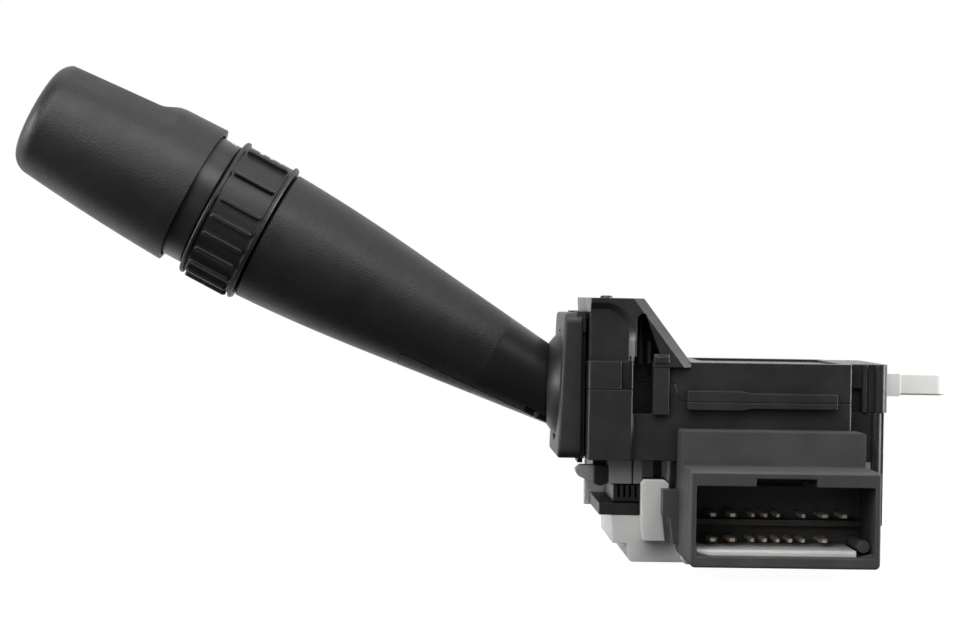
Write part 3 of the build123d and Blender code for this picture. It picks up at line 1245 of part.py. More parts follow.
with BuildPart() as carriage:
    carriage_body = side_rectangle(CARRIAGE_FRONT_X, CARRIAGE_BACK_X, CARRIAGE_BOTTOM, CARRIAGE_TOP)
    across(carriage_body, CARRIAGE_BODY_Y, CARRIAGE_REAR_Y)
    carriage_front = side_rectangle(CARRIAGE_FRONT_X, CARRIAGE_STEP_X, CARRIAGE_BOTTOM, CARRIAGE_TOP)
    across(carriage_front, CARRIAGE_FRONT_Y, CARRIAGE_BODY_Y + 0.5)
    # upright ribs on the front
    groove_pitch = (CARRIAGE_STEP_X - CARRIAGE_FRONT_X) / (RIB_GROOVES + 1)
    for count in range(RIB_GROOVES):
        groove_x = CARRIAGE_FRONT_X + groove_pitch * (count + 1)
        groove = side_rectangle(
            groove_x - RIB_GROOVE / 2,
            groove_x + RIB_GROOVE / 2,
            CARRIAGE_BOTTOM + GROOVE_FOOT,
            CARRIAGE_TOP + 1,
        )
        across(groove, CARRIAGE_FRONT_Y - 1, CARRIAGE_FRONT_Y + GROOVE_DEPTH, Mode.SUBTRACT)
    with BuildSketch(Plane.XY.offset(CARRIAGE_BOTTOM + CARRIAGE_FLOOR)) as carriage_slot:
        with Locations((TURN_FINGER_X - 0.1, 0)):
            Rectangle(2 * TURN_BALL + 1.0, 2 * (TURN_BALL + RUN))
    extrude(carriage_slot.sketch, amount=CARRIAGE_TOP - CARRIAGE_BOTTOM + 1, mode=Mode.SUBTRACT)
carriage.part.label = "turn_carriage"
export_step(carriage.part, "parts/turn_carriage.step")

# ---------------------------------------------------------------- contact plate and nylon base
with BuildPart() as contact_plate:
    plate_front = -BASE_HALF_WIDTH + PLATE_SET_BACK
    wide_part = side_rectangle(PLATE_FRONT_X, BASE_WALL_X - SEAM, PLATE_BOTTOM, PLATE_TOP)
    across(wide_part, plate_front, BASE_HALF_WIDTH - PLATE_REAR_GAP)
    front_tongue = side_rectangle(PLATE_FRONT_X, CARRIAGE_STEP_X, PLATE_BOTTOM, PLATE_TOP)
    across(front_tongue, -BASE_HALF_WIDTH, plate_front)
contact_plate.part.label = "contact_plate"
export_step(contact_plate.part, "parts/contact_plate.step")


def blade_places():
    """Every blade of the plug as (width, X, Z), column by column."""
    wide = [FIRST_BLADE_X, FIRST_BLADE_X + WIDE_PITCH, LAST_WIDE_X, LAST_WIDE_X + WIDE_PITCH]
    narrow = [FIRST_NARROW_X + NARROW_PITCH * i for i in range(NARROW_PLACES)]
    upper = [(WIDE_BLADE, x, UPPER_ROW_Z) for x in wide]
    upper += [(NARROW_BLADE, x, UPPER_ROW_Z) for i, x in enumerate(narrow) if i != EMPTY_PLACE]
    lower = [(WIDE_BLADE, x, LOWER_ROW_Z) for x in wide[:LOWER_WIDE]]
    lower += [(NARROW_BLADE, x, LOWER_ROW_Z) for x in narrow]
    return upper + lower


def blade_slots(y_from, y_to):
    """Cut a snug slot for every blade."""
    for width, x, z in blade_places():
        half = BLADE_THICKNESS / 2 + SNUG
        slot = side_rectangle(x - width / 2 - SNUG, x + width / 2 + SNUG, z - half, z + half)
        across(slot, y_from, y_to, Mode.SUBTRACT)


with BuildPart() as base:
    base_front = -CASE_HALF_WIDTH + SEAM
    across(
        side_profile(
            (BASE_STEPS_X[0], PLATE_BOTTOM - SEAM),
            (BASE_STEPS_X[1], BASE_STEP_Z),
            (BASE_STEPS_X[2], BASE_STEP_Z),
            (BASE_STEPS_X[3], BASE_BOTTOM),
            (BASE_BACK_X, BASE_BOTTOM),
            (BASE_BACK_X, BASE_TOP),
            (BASE_WALL_X, BASE_TOP),
            (BASE_WALL_X, PLATE_BOTTOM - SEAM),
        ),
        -BASE_HALF_WIDTH,
        BASE_HALF_WIDTH,
    )
    across(side_rectangle(BASE_WALL_X, BASE_BACK_X, BASE_BOTTOM, BASE_TOP), base_front, -BASE_HALF_WIDTH + 1)
    # rear wall behind the carriages
    across(side_rectangle(-3.1, BASE_WALL_X + 1, PLATE_BOTTOM - SEAM - 0.3, BASE_TOP), 13.5, BASE_HALF_WIDTH)
    # hook that holds the base up at the front, on a block below the contact plate
    hook_root = PLATE_BOTTOM - SEAM
    hook = side_profile(
        (HOOK_LEFT_X, hook_root),
        (HOOK_LEFT_X, HOOK_TOP - HOOK_BEVEL),
        (HOOK_LEFT_X + HOOK_SLANT, HOOK_TOP),
        (HOOK_NOSE_X - HOOK_BEVEL, HOOK_TOP),
        (HOOK_NOSE_X, HOOK_TOP - HOOK_BEVEL),
        (HOOK_NOSE_X, HOOK_NOSE_BOTTOM),
        (HOOK_STEM_X, HOOK_NOSE_BOTTOM - 0.2),
        (HOOK_STEM_X + HOOK_DRAFT, hook_root),
    )
    across(hook, base_front, HOOK_BACK_Y)
    hook_block = side_profile(
        (HOOK_LEFT_X, hook_root),
        (HOOK_STEM_X + HOOK_DRAFT, hook_root),
        (HOOK_FOOT_X, HOOK_FOOT),
        (HOOK_LEFT_X + HOOK_SLANT, HOOK_FOOT),
    )
    across(hook_block, base_front, -BASE_HALF_WIDTH + 1)
    fillet(base.edges().filter_by(Axis.Y).group_by(Axis.Z)[0], 1.0)
    blade_slots(base_front - 1, BLADE_ROOT_Y + SEAM)
base.part.label = "contact_base"
export_step(base.part, "parts/contact_base.step")

# ---------------------------------------------------------------- connector
with BuildPart() as shell:
    shell_back = -CASE_HALF_WIDTH
    across(
        side_rectangle(SHELL_LEFT_X, SHELL_RIGHT_X, SHELL_BOTTOM, SHELL_TOP), SHELL_FRONT_Y, shell_back
    )
    fillet(shell.edges().filter_by(Axis.Y).group_by(Axis.Z)[0], 1.0)
    across(side_rectangle(SHELL_LEFT_X, SHELL_RIGHT_X, SHELL_TOP - 1, BLOCK_TOP), BLOCK_FRONT_Y, shell_back)
    fillet(shell.edges().filter_by(Axis.Y).group_by(Axis.Z)[-1], SHELL_ROUND)
    fillet(shell.faces().filter_by(Axis.Y).sort_by(Axis.Y)[0].edges(), SHELL_EDGE)
    mouth_left = SHELL_LEFT_X + MOUTH_SIDE_WALL
    mouth_right = SHELL_RIGHT_X - MOUTH_SIDE_WALL
    across(
        side_rectangle(mouth_left, mouth_right, MOUTH_BOTTOM, MOUTH_TOP, corner=SHELL_EDGE),
        SHELL_FRONT_Y - 1,
        BLOCK_FRONT_Y,
        Mode.SUBTRACT,
    )
    across(
        side_rectangle(KEY_START_X, KEY_END_X, MOUTH_TOP - 1, KEY_TOP),
        SHELL_FRONT_Y - 1,
        BLOCK_FRONT_Y + 1,
        Mode.SUBTRACT,
    )
    # small locking hole through the key's roof
    across(
        side_rectangle(KEY_END_X - 2.2, KEY_END_X - 0.5, KEY_TOP - 1, SHELL_TOP - 0.2),
        SHELL_FRONT_Y + FRONT_SET_BACK,
        BLOCK_FRONT_Y - BLOCK_LAP,
        Mode.SUBTRACT,
    )
    # ledge between the two rows of blades
    ledge_top = (UPPER_ROW_Z + LOWER_ROW_Z) / 2 + LEDGE_RISE
    across(
        side_rectangle(mouth_left - 0.2, mouth_right + 0.2, ledge_top - LEDGE_THICKNESS, ledge_top),
        BLOCK_FRONT_Y - LEDGE_LAP,
        BLOCK_FRONT_Y + 0.5,
    )
    # guide post in the lower corner
    crosswise(
        POST_RADIUS, mouth_right - POST_IN, MOUTH_BOTTOM + POST_UP, SHELL_FRONT_Y + 4, BLOCK_FRONT_Y + 0.5
    )
    # small gussets in the lower corners of the mouth
    for corner_x, inward in ((mouth_left, 1), (mouth_right, -1)):
        gusset = side_profile(
            (corner_x - inward, MOUTH_BOTTOM - 0.5),
            (corner_x - inward, MOUTH_BOTTOM + GUSSET_RISE),
            (corner_x, MOUTH_BOTTOM + GUSSET_RISE),
            (corner_x + inward * GUSSET_RUN, MOUTH_BOTTOM),
            (corner_x + inward * GUSSET_RUN, MOUTH_BOTTOM - 0.5),
        )
        across(gusset, SHELL_FRONT_Y + 0.5, SHELL_FRONT_Y + FRONT_SET_BACK - SEAM)
    # lugs beside the hook of the base
    across(side_rectangle(LUG_REACH_X, SHELL_LEFT_X + 0.5, LUG_SPLIT_Z + SEAM, LUG_TOP), *LUG_WIDTH)
    lower_lug = side_profile(
        (LUG_REACH_X + LUG_FOOT, LUG_SPLIT_Z + SEAM),
        (LUG_REACH_X + LUG_TOE, LUG_BOTTOM),
        (SHELL_LEFT_X + 0.5, LUG_BOTTOM),
        (SHELL_LEFT_X + 0.5, LUG_SPLIT_Z + SEAM),
    )
    across(lower_lug, *LUG_WIDTH)
    blade_slots(BLOCK_FRONT_Y - BLOCK_LAP, shell_back + 1)
shell.part.label = "connector_shell"
export_step(shell.part, "parts/connector_shell.step")

# nylon plate on the floor of the plug cavity
with BuildPart() as retainer:
    retainer_top = LOWER_ROW_Z - BLADE_THICKNESS / 2 - 1.0
    retainer_right = mouth_right - POST_IN - POST_RADIUS - FREE
    across(
        side_rectangle(mouth_left + 0.5, retainer_right, MOUTH_BOTTOM + SNUG, retainer_top),
        SHELL_FRONT_Y + FRONT_SET_BACK,
        BLOCK_FRONT_Y - SNUG,
    )
    chamfer(retainer.edges().filter_by(Axis.X).sort_by(Axis.Y)[:2].sort_by(Axis.Z)[-1], RETAINER_BEVEL)
retainer.part.label = "terminal_retainer"
export_step(retainer.part, "parts/terminal_retainer.step")


def blades(of_width):
    """All blades of one width, with chamfered tips."""
    for width, x, z in blade_places():
        if width == of_width:
            half = BLADE_THICKNESS / 2
            bevel = width * 0.25
            with BuildSketch(Plane.XY.offset(z - half)) as blade:
                with BuildLine():
                    Polyline(
                        (x - width / 2 + bevel, BLADE_TIP_Y),
                        (x + width / 2 - bevel, BLADE_TIP_Y),
                        (x + width / 2, BLADE_TIP_Y + 2 * bevel),
                        (x + width / 2, BLADE_ROOT_Y),
                        (x - width / 2, BLADE_ROOT_Y),
                        (x - width / 2, BLADE_TIP_Y + 2 * bevel),
                        close=True,
                    )
                make_face()
            extrude(blade.sketch, amount=BLADE_THICKNESS)


with BuildPart() as wide_blades:
    blades(WIDE_BLADE)
wide_blades.part.label = "wide_blades"
export_step(wide_blades.part, "parts/wide_blades.step")

with BuildPart() as narrow_blades:
    blades(NARROW_BLADE)
narrow_blades.part.label = "narrow_blades"
export_step(narrow_blades.part, "parts/narrow_blades.step")
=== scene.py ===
"""Looks of the combination stalk switch: finishes, fine moulded forms, printed marks and studio."""
from math import cos, pi, radians, sin, tan

import bmesh
import bpy
from mathutils import Matrix, Vector


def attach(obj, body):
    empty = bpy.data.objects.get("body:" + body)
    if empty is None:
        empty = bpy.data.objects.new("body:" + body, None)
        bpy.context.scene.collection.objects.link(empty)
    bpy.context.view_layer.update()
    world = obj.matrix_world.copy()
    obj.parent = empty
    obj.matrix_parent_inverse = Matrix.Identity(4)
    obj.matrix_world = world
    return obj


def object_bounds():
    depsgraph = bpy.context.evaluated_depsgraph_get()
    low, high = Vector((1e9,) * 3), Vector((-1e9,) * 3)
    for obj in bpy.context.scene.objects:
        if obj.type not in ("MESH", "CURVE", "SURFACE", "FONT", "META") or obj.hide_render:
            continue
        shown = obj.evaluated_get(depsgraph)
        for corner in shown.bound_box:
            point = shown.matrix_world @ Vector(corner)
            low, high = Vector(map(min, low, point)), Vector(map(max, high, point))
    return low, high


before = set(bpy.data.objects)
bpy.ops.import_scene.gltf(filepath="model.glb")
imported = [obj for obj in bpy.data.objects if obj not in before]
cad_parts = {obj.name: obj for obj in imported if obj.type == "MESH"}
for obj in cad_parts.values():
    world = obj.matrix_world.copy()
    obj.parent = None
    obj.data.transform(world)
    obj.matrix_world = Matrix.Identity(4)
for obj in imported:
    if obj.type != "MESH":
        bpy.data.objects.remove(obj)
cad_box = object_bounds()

# ------------------------------------------------------------------ housing shells
# Two black shells of glass-filled nylon, moulded and snapped together over the switch parts. The tool is
# polished on the sides, so they have a soft gloss, with a faint cloudiness where the glass fibres lie.
MM = 0.001
PLASTIC_IOR = 1.5
CLOUD_MM = 9.0              # from one pale cloud in the plastic to the next
SHINE_PATCH_MM = 2.79       # the same for the patches that shine a little more
NOISE_SPREAD = (0.3, 0.7)   # most of a noise pattern lies between these
SHADE_REACH_MM = 3.0             # painted shade: a corner loses its shine within this of the next wall, which darkens it
SHADE_OPENNESS = (0.35, 0.9)   # how open a place is where the painted shade takes all its shine, and none of it
FULL_SHINE = 0.5


def linear(code):
    """An sRGB hex colour as linear red, green, blue and alpha."""
    values = [int(code[i : i + 2], 16) / 255 for i in (1, 3, 5)]
    return tuple(v / 12.92 if v <= 0.04045 else ((v + 0.055) / 1.055) ** 2.4 for v in values) + (1.0,)


def add(tree, kind, settings=None, **inputs):
    """Add a node with its settings, and set or link its inputs by name or, as _0, by number."""
    node = tree.nodes.new(kind)
    for name, value in (settings or {}).items():
        setattr(node, name, value)
    for name, value in inputs.items():
        socket = node.inputs[int(name[1:])] if name[1:].isdigit() else node.inputs[name.replace("_", " ")]
        if isinstance(value, bpy.types.NodeSocket):
            tree.links.new(value, socket)
        else:
            socket.default_value = value
    return node


def start_material(name):
    """An empty material, its node tree and the object coordinates."""
    material = bpy.data.materials.new(name)
    material.use_nodes = True
    tree = material.node_tree
    tree.nodes.clear()
    place = add(tree, "ShaderNodeTexCoord").outputs["Object"]
    return material, tree, place


def moulded(name, dark, light, gloss, matt, grain_mm, height_mm, edge_mm=0.12, shaded_recess_shine=0.06):
    """Moulded plastic: cloudy colour, uneven gloss, a fine grain, rounded edges and painted shade in
    recesses.

    Its roughness goes from gloss to matt. The real grain is finer, and is drawn as coarse as it needs to
    be to show.
    """
    material, tree, place = start_material(name)
    low, high = NOISE_SPREAD
    cloud = add(tree, "ShaderNodeTexNoise", Vector=place, Scale=1 / (CLOUD_MM * MM), Detail=4.0)
    milk = add(tree, "ShaderNodeMapRange", Value=cloud.outputs[0], From_Min=low, From_Max=high)
    colour = add(
        tree,
        "ShaderNodeMix",
        {"data_type": "RGBA"},
        _0=milk.outputs[0],
        _6=linear(dark),
        _7=linear(light),
    )
    patch = add(tree, "ShaderNodeTexNoise", Vector=place, Scale=1 / (SHINE_PATCH_MM * MM), Detail=5.0)
    rough = add(
        tree,
        "ShaderNodeMapRange",
        Value=patch.outputs[0],
        From_Min=low,
        From_Max=high,
        To_Min=gloss,
        To_Max=matt,
    )
    grain = add(tree, "ShaderNodeTexNoise", Vector=place, Scale=1 / (grain_mm * MM), Detail=2.0)
    edge = add(tree, "ShaderNodeBevel", {"samples": 4}, Radius=edge_mm * MM)
    bump = add(
        tree, "ShaderNodeBump", Height=grain.outputs[0], Distance=height_mm * MM, Normal=edge.outputs[0]
    )
    # Painted shade: the shine is taken out of corners and recesses, which darkens them as shade would.
    openness = add(tree, "ShaderNodeAmbientOcclusion", {"samples": 4}, Distance=SHADE_REACH_MM * MM)
    shine_under_painted_shade = add(
        tree,
        "ShaderNodeMapRange",
        Value=openness.outputs["AO"],
        From_Min=SHADE_OPENNESS[0],
        From_Max=SHADE_OPENNESS[1],
        To_Min=shaded_recess_shine,
        To_Max=FULL_SHINE,
    )
    shader = add(
        tree,
        "ShaderNodeBsdfPrincipled",
        Base_Color=colour.outputs[2],
        Roughness=rough.outputs[0],
        Normal=bump.outputs[0],
        IOR=PLASTIC_IOR,
        Specular_IOR_Level=shine_under_painted_shade.outputs[0],
    )
    add(tree, "ShaderNodeOutputMaterial", Surface=shader.outputs[0])
    return material


def dress(material, *nodes):
    """Give solids their finish."""
    for name in nodes:
        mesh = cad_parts[name].data
        for index in range(len(mesh.materials)):
            mesh.materials[index] = material


housing_nylon = moulded(
    "glass_filled_nylon_black", "#202021", "#2c2c2d", 0.28, 0.40, 0.5, 0.008, edge_mm=0.25
)
dress(housing_nylon, "upper_case", "lower_case")

# ------------------------------------------------------------------ strap heads
# Moulded in one with the latch straps: a thicker head at the upper end, where a finger presses the strap in,
# with fine upright teeth across its top.
STRAP_FACE = 22.5           # from the middle of the housing to the strap's face, all sizes here in mm
HEAD_OUT = 0.32             # how far the head stands out of the strap
HEAD_ROOT = 0.1             # and how far it goes into it
HEAD_X = (8.1, 11.2)
HEAD_Z = (5.2, 7.1)
BROKEN_EDGE = 0.08
TOOTH = (0.16, 0.14, 0.7)
TOOTH_COUNT = 9
TOOTH_PITCH = 0.32
TOOTH_FIRST_X = 8.38
TOOTH_Z = 6.55
TOOTH_WEAR = 0.06           # the most that a tooth is worn down, as a share of its size
WEAR_SEED = 1


def row_of_teeth(name, material, first, step, count, size):
    """A row of small teeth at an even step, each a little worn."""
    group = bpy.data.node_groups.new(name, "GeometryNodeTree")
    kinds = {
        "Size": "NodeSocketVector",
        "First": "NodeSocketVector",
        "Step": "NodeSocketVector",
        "Count": "NodeSocketInt",
        "Seed": "NodeSocketInt",
        "Wear": "NodeSocketFloat",
    }
    for label, kind in kinds.items():
        group.interface.new_socket(label, in_out="INPUT", socket_type=kind)
    group.interface.new_socket("Geometry", in_out="OUTPUT", socket_type="NodeSocketGeometry")
    given = add(group, "NodeGroupInput").outputs
    line = add(
        group,
        "GeometryNodeMeshLine",
        Count=given["Count"],
        Start_Location=given["First"],
        Offset=given["Step"],
    )
    tooth = add(group, "GeometryNodeMeshCube", Size=given["Size"])
    smallest = add(group, "ShaderNodeMath", {"operation": "SUBTRACT"}, _0=1.0, _1=given["Wear"])
    worn = add(
        group,
        "FunctionNodeRandomValue",
        {"data_type": "FLOAT"},
        _2=smallest.outputs[0],
        _3=1.0,
        Seed=given["Seed"],
    )
    teeth = add(
        group,
        "GeometryNodeInstanceOnPoints",
        Points=line.outputs[0],
        Instance=tooth.outputs[0],
        Scale=worn.outputs[1],
    )
    real = add(group, "GeometryNodeRealizeInstances", Geometry=teeth.outputs[0])
    coated = add(group, "GeometryNodeSetMaterial", Geometry=real.outputs[0], Material=material)
    add(group, "NodeGroupOutput", Geometry=coated.outputs[0])

    blank = bpy.data.objects.new(name + "_blank", bpy.data.meshes.new(name + "_blank"))
    bpy.context.scene.collection.objects.link(blank)
    cutter = blank.modifiers.new(name, "NODES")
    cutter.node_group = group
    values = {
        "Size": [v * MM for v in size],
        "First": [v * MM for v in first],
        "Step": [v * MM for v in step],
        "Count": count,
        "Seed": WEAR_SEED,
        "Wear": TOOTH_WEAR,
    }
    for item in group.interface.items_tree:
        if item.in_out == "INPUT":
            cutter[item.identifier] = values[item.name]
    graph = bpy.context.evaluated_depsgraph_get()
    mesh = bpy.data.meshes.new_from_object(blank.evaluated_get(graph))
    mesh.name = name
    bpy.data.objects.remove(blank)
    return mesh


def piece(name, mesh, body):
    """Make a mesh a piece of the part that moves with a body."""
    thing = bpy.data.objects.new(name, mesh)
    bpy.context.scene.collection.objects.link(thing)
    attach(thing, body)
    return thing


def pushed_out(name, corners, shift, material):
    """An outline of points in mm pushed out along a shift into a solid, with its edges broken."""
    form = bmesh.new()
    face = form.faces.new([form.verts.new(Vector(corner) * MM) for corner in corners])
    pushed = bmesh.ops.extrude_face_region(form, geom=[face])["geom"]
    ends = [part for part in pushed if isinstance(part, bmesh.types.BMVert)]
    bmesh.ops.translate(form, vec=Vector(shift) * MM, verts=ends)
    bmesh.ops.recalc_face_normals(form, faces=form.faces[:])
    bmesh.ops.bevel(form, geom=form.edges[:], offset=BROKEN_EDGE * MM, segments=2, affect="EDGES")
    mesh = bpy.data.meshes.new(name)
    form.to_mesh(mesh)
    form.free()
    mesh.materials.append(material)
    return mesh


for label, side in (("front", -1), ("rear", 1)):
    head_y = side * (STRAP_FACE - HEAD_ROOT)
    (left, right), (low, high) = HEAD_X, HEAD_Z
    head = pushed_out(
        "strap_head_" + label,
        [(x, head_y, z) for x, z in ((left, low), (right, low), (right, high), (left, high))],
        (0, side * (HEAD_OUT + HEAD_ROOT), 0),
        housing_nylon,
    )
    piece("strap_head_" + label, head, "housing")
    teeth = row_of_teeth(
        "strap_teeth_" + label,
        housing_nylon,
        (TOOTH_FIRST_X, side * (STRAP_FACE + HEAD_OUT), TOOTH_Z),
        (TOOTH_PITCH, 0, 0),
        TOOTH_COUNT,
        TOOTH,
    )
    piece("strap_teeth_" + label, teeth, "housing")

# ------------------------------------------------------------------ pins and springs
# Pins and springs of drawn steel, with fine lines from the die. The pins are blackened, which leaves a dull
# skin, and the springs' wire is brighter.
LINE_SHAPE = 0.03           # width of a line as a share of its length
PLATING_PATCH_MM = 1.1      # from one thin place in a plating to the next
PLATING_THIN = (0.45, 0.62)
PLATING_SHOWS = 0.8         # how much of the metal below shows where the plating is thinnest
LINE_HEIGHT_MM = 0.002


def drawn_metal(name, dark, light, gloss, matt, line_mm, axis, below=None):
    """Metal with fine lines along one axis, and a second colour where its plating is thin."""
    material, tree, place = start_material(name)
    stretch = [1 / (line_mm * MM)] * 3
    stretch[axis] *= LINE_SHAPE
    lines = add(tree, "ShaderNodeMapping", Vector=place, Scale=stretch)
    streak = add(tree, "ShaderNodeTexNoise", Vector=lines.outputs[0], Scale=1.0, Detail=3.0)
    colour = add(
        tree,
        "ShaderNodeMix",
        {"data_type": "RGBA"},
        _0=streak.outputs[0],
        _6=linear(dark),
        _7=linear(light),
    )
    if below:
        thin = add(tree, "ShaderNodeTexNoise", Vector=place, Scale=1 / (PLATING_PATCH_MM * MM), Detail=3.0)
        bare = add(
            tree,
            "ShaderNodeMapRange",
            Value=thin.outputs[0],
            From_Min=PLATING_THIN[0],
            From_Max=PLATING_THIN[1],
            To_Max=PLATING_SHOWS,
        )
        colour = add(
            tree,
            "ShaderNodeMix",
            {"data_type": "RGBA"},
            _0=bare.outputs[0],
            _6=colour.outputs[2],
            _7=linear(below),
        )
    rough = add(tree, "ShaderNodeMapRange", Value=streak.outputs[0], To_Min=gloss, To_Max=matt)
    bump = add(tree, "ShaderNodeBump", Height=streak.outputs[0], Distance=LINE_HEIGHT_MM * MM)
    shader = add(
        tree,
        "ShaderNodeBsdfPrincipled",
        Base_Color=colour.outputs[2],
        Metallic=1.0,
        Roughness=rough.outputs[0],
        Normal=bump.outputs[0],
    )
    add(tree, "ShaderNodeOutputMaterial", Surface=shader.outputs[0])
    return material


pin_steel = drawn_metal("blackened_drawn_steel", "#3a3b3c", "#545556", 0.3, 0.45, 0.12, 2)
spring_steel = drawn_metal("drawn_spring_steel", "#6d6e70", "#97989a", 0.28, 0.45, 0.1, 0)
dress(pin_steel, "turn_pivot_pin", "cancel_pivot_pin", "dip_pivot_pin")
dress(spring_steel, "detent_spring", "cancel_spring", "knob_detent_leaf")

# ------------------------------------------------------------------ yoke, arm and detent
# Acetal parts that slide on each other, waxy and straight off the tool: grey for the yoke, black for the
# arm, white for the plunger, the cam and the cancelling finger.
grey_acetal = moulded("acetal_grey", "#6a6b6c", "#767778", 0.34, 0.44, 0.4, 0.004)
black_acetal = moulded("acetal_black", "#1d1d1e", "#262627", 0.3, 0.4, 0.4, 0.004)
white_acetal = moulded("acetal_white", "#e6e6e2", "#eeeeea", 0.3, 0.4, 0.4, 0.004)
dress(grey_acetal, "turn_yoke", "light_contact_rotor")
dress(black_acetal, "lever_arm", "knob_shaft", "ring_drive_sleeve", "turn_carriage")
dress(white_acetal, "detent_plunger", "detent_cam", "knob_detent_wheel", "cancel_finger")

# ------------------------------------------------------------------ ball shield and bezel
# Smooth acetal cap that closes the housing round the lever, and the moulded plate with a round seat that
# holds it. The plate has a coarser grain than the shells behind it, which looks drier.
shield_acetal = moulded("acetal_shield_black", "#141415", "#1b1b1c", 0.38, 0.48, 0.35, 0.003)
bezel_black = moulded("grained_abs_bezel_black", "#232324", "#2e2e2f", 0.40, 0.52, 0.42, 0.03, edge_mm=0.25)
dress(shield_acetal, "ball_shield")
dress(bezel_black, "bezel_plate")

# ------------------------------------------------------------------ lever body and collar
# Black plastic with a fine spark-eroded grain, which gives a wide soft sheen. Next to the housing the grain
# stops at a fine line, and the root is smooth so that it wipes clean. The collar is smooth all over.
TILT = radians(27.4)        # how far the lever rises towards its knob
ALONG = Vector((-cos(TILT), 0, sin(TILT)))
OUT = Vector((sin(TILT), 0, cos(TILT)))
ROOT = Vector((-11.49, 0, -0.58)) * MM
GRAIN_STARTS = 13.9         # from the root, in mm
GRAIN_FADE = 0.1            # half the width of the line where the grain stops
SMOOTHER = 0.06             # how much less rough the smooth root is
LEVER_CLOUD_MM = 13.0
LEVER_PATCH_MM = 5.0
LEVER_EDGE_MM = 0.2
FINE_GRAIN = 0.6            # size of the finest grain between the pits, as a share of a pit
PIT_DEPTH = 0.6             # depth of a pit, as a share of that finest grain's height
ALL_GRAINED = -99.0         # short of everything that is grained


def spark_grained(name, dark, light, gloss, matt, grain_mm, height_mm, smooth_until=ALL_GRAINED):
    """Black plastic with a pitted grain, left smooth up to a distance along the lever.

    The real pits are finer, and are drawn as coarse as they need to be to show.
    """
    material, tree, place = start_material(name)
    low, high = NOISE_SPREAD
    from_root = add(tree, "ShaderNodeVectorMath", {"operation": "SUBTRACT"}, _0=place, _1=ROOT)
    distance = add(
        tree, "ShaderNodeVectorMath", {"operation": "DOT_PRODUCT"}, _0=from_root.outputs[0], _1=ALONG
    )
    grained = add(
        tree,
        "ShaderNodeMapRange",
        Value=distance.outputs["Value"],
        From_Min=(smooth_until - GRAIN_FADE) * MM,
        From_Max=(smooth_until + GRAIN_FADE) * MM,
    )
    cloud = add(tree, "ShaderNodeTexNoise", Vector=place, Scale=1 / (LEVER_CLOUD_MM * MM), Detail=4.0)
    milk = add(tree, "ShaderNodeMapRange", Value=cloud.outputs[0], From_Min=low, From_Max=high)
    colour = add(
        tree,
        "ShaderNodeMix",
        {"data_type": "RGBA"},
        _0=milk.outputs[0],
        _6=linear(dark),
        _7=linear(light),
    )
    pits = add(tree, "ShaderNodeTexVoronoi", Vector=place, Scale=1 / (grain_mm * MM))
    fine = add(tree, "ShaderNodeTexNoise", Vector=place, Scale=1 / (grain_mm * FINE_GRAIN * MM), Detail=2.0)
    grain = add(
        tree,
        "ShaderNodeMath",
        {"operation": "MULTIPLY_ADD"},
        _0=pits.outputs[0],
        _1=PIT_DEPTH,
        _2=fine.outputs[0],
    )
    height = add(
        tree, "ShaderNodeMath", {"operation": "MULTIPLY"}, _0=grain.outputs[0], _1=grained.outputs[0]
    )
    patch = add(tree, "ShaderNodeTexNoise", Vector=place, Scale=1 / (LEVER_PATCH_MM * MM), Detail=5.0)
    worn = add(
        tree,
        "ShaderNodeMapRange",
        Value=patch.outputs[0],
        From_Min=low,
        From_Max=high,
        To_Min=gloss,
        To_Max=matt,
    )
    rough = add(
        tree,
        "ShaderNodeMix",
        {"data_type": "FLOAT"},
        _0=grained.outputs[0],
        _2=gloss - SMOOTHER,
        _3=worn.outputs[0],
    )
    edge = add(tree, "ShaderNodeBevel", {"samples": 4}, Radius=LEVER_EDGE_MM * MM)
    bump = add(
        tree, "ShaderNodeBump", Height=height.outputs[0], Distance=height_mm * MM, Normal=edge.outputs[0]
    )
    shader = add(
        tree,
        "ShaderNodeBsdfPrincipled",
        Base_Color=colour.outputs[2],
        Roughness=rough.outputs[0],
        Normal=bump.outputs[0],
        IOR=PLASTIC_IOR,
    )
    add(tree, "ShaderNodeOutputMaterial", Surface=shader.outputs[0])
    return material


lever_black = spark_grained(
    "spark_grained_abs_black", "#121213", "#1a1a1b", 0.40, 0.50, 0.5, 0.035, smooth_until=GRAIN_STARTS
)
collar_black = moulded("satin_abs_black", "#1e1e1f", "#272728", 0.32, 0.40, 0.45, 0.005, shaded_recess_shine=0.3)
dress(lever_black, "lever_shell", "lever_lower_cover")
dress(collar_black, "collar_tube")

# ------------------------------------------------------------------ tongue of the lower cover
# A flat tongue inside the lever, in the same smooth plastic as the collar. It closes the seam of the lower
# cover from behind, so that no light passes through.
TONGUE_HALF = 0.3           # half its thickness, in mm as all sizes here
SEAM_START = (2.0, -6.85)   # distance along the lever from its root, and height over its axis
SEAM_END = (31.0, -8.28)
SEAM_FOOT = (29.8, -10.55)  # where the seam comes out at the underside
LAP_OVER = 0.6              # how far the tongue reaches over the seam
LAP_UNDER_START = 0.4       # and under it, at its two ends
LAP_UNDER_END = 0.55


def in_lever(distance, height, side=0.0):
    """A point given along the lever, outward from its axis and sideways, in mm."""
    return (ROOT / MM) + ALONG * distance + OUT * height + Vector((0, side, 0))


tongue_outline = [
    (SEAM_START[0], SEAM_START[1] + LAP_OVER),
    (SEAM_END[0], SEAM_END[1] + LAP_OVER),
    (SEAM_END[0], SEAM_FOOT[1]),
    SEAM_FOOT,
    (SEAM_FOOT[0], SEAM_END[1] - LAP_UNDER_END),
    (SEAM_START[0], SEAM_START[1] - LAP_UNDER_START),
]
tongue = pushed_out(
    "cover_tongue",
    [in_lever(distance, height, -TONGUE_HALF) for distance, height in tongue_outline],
    (0, 2 * TONGUE_HALF, 0),
    collar_black,
)
piece("cover_tongue", tongue, "lever")
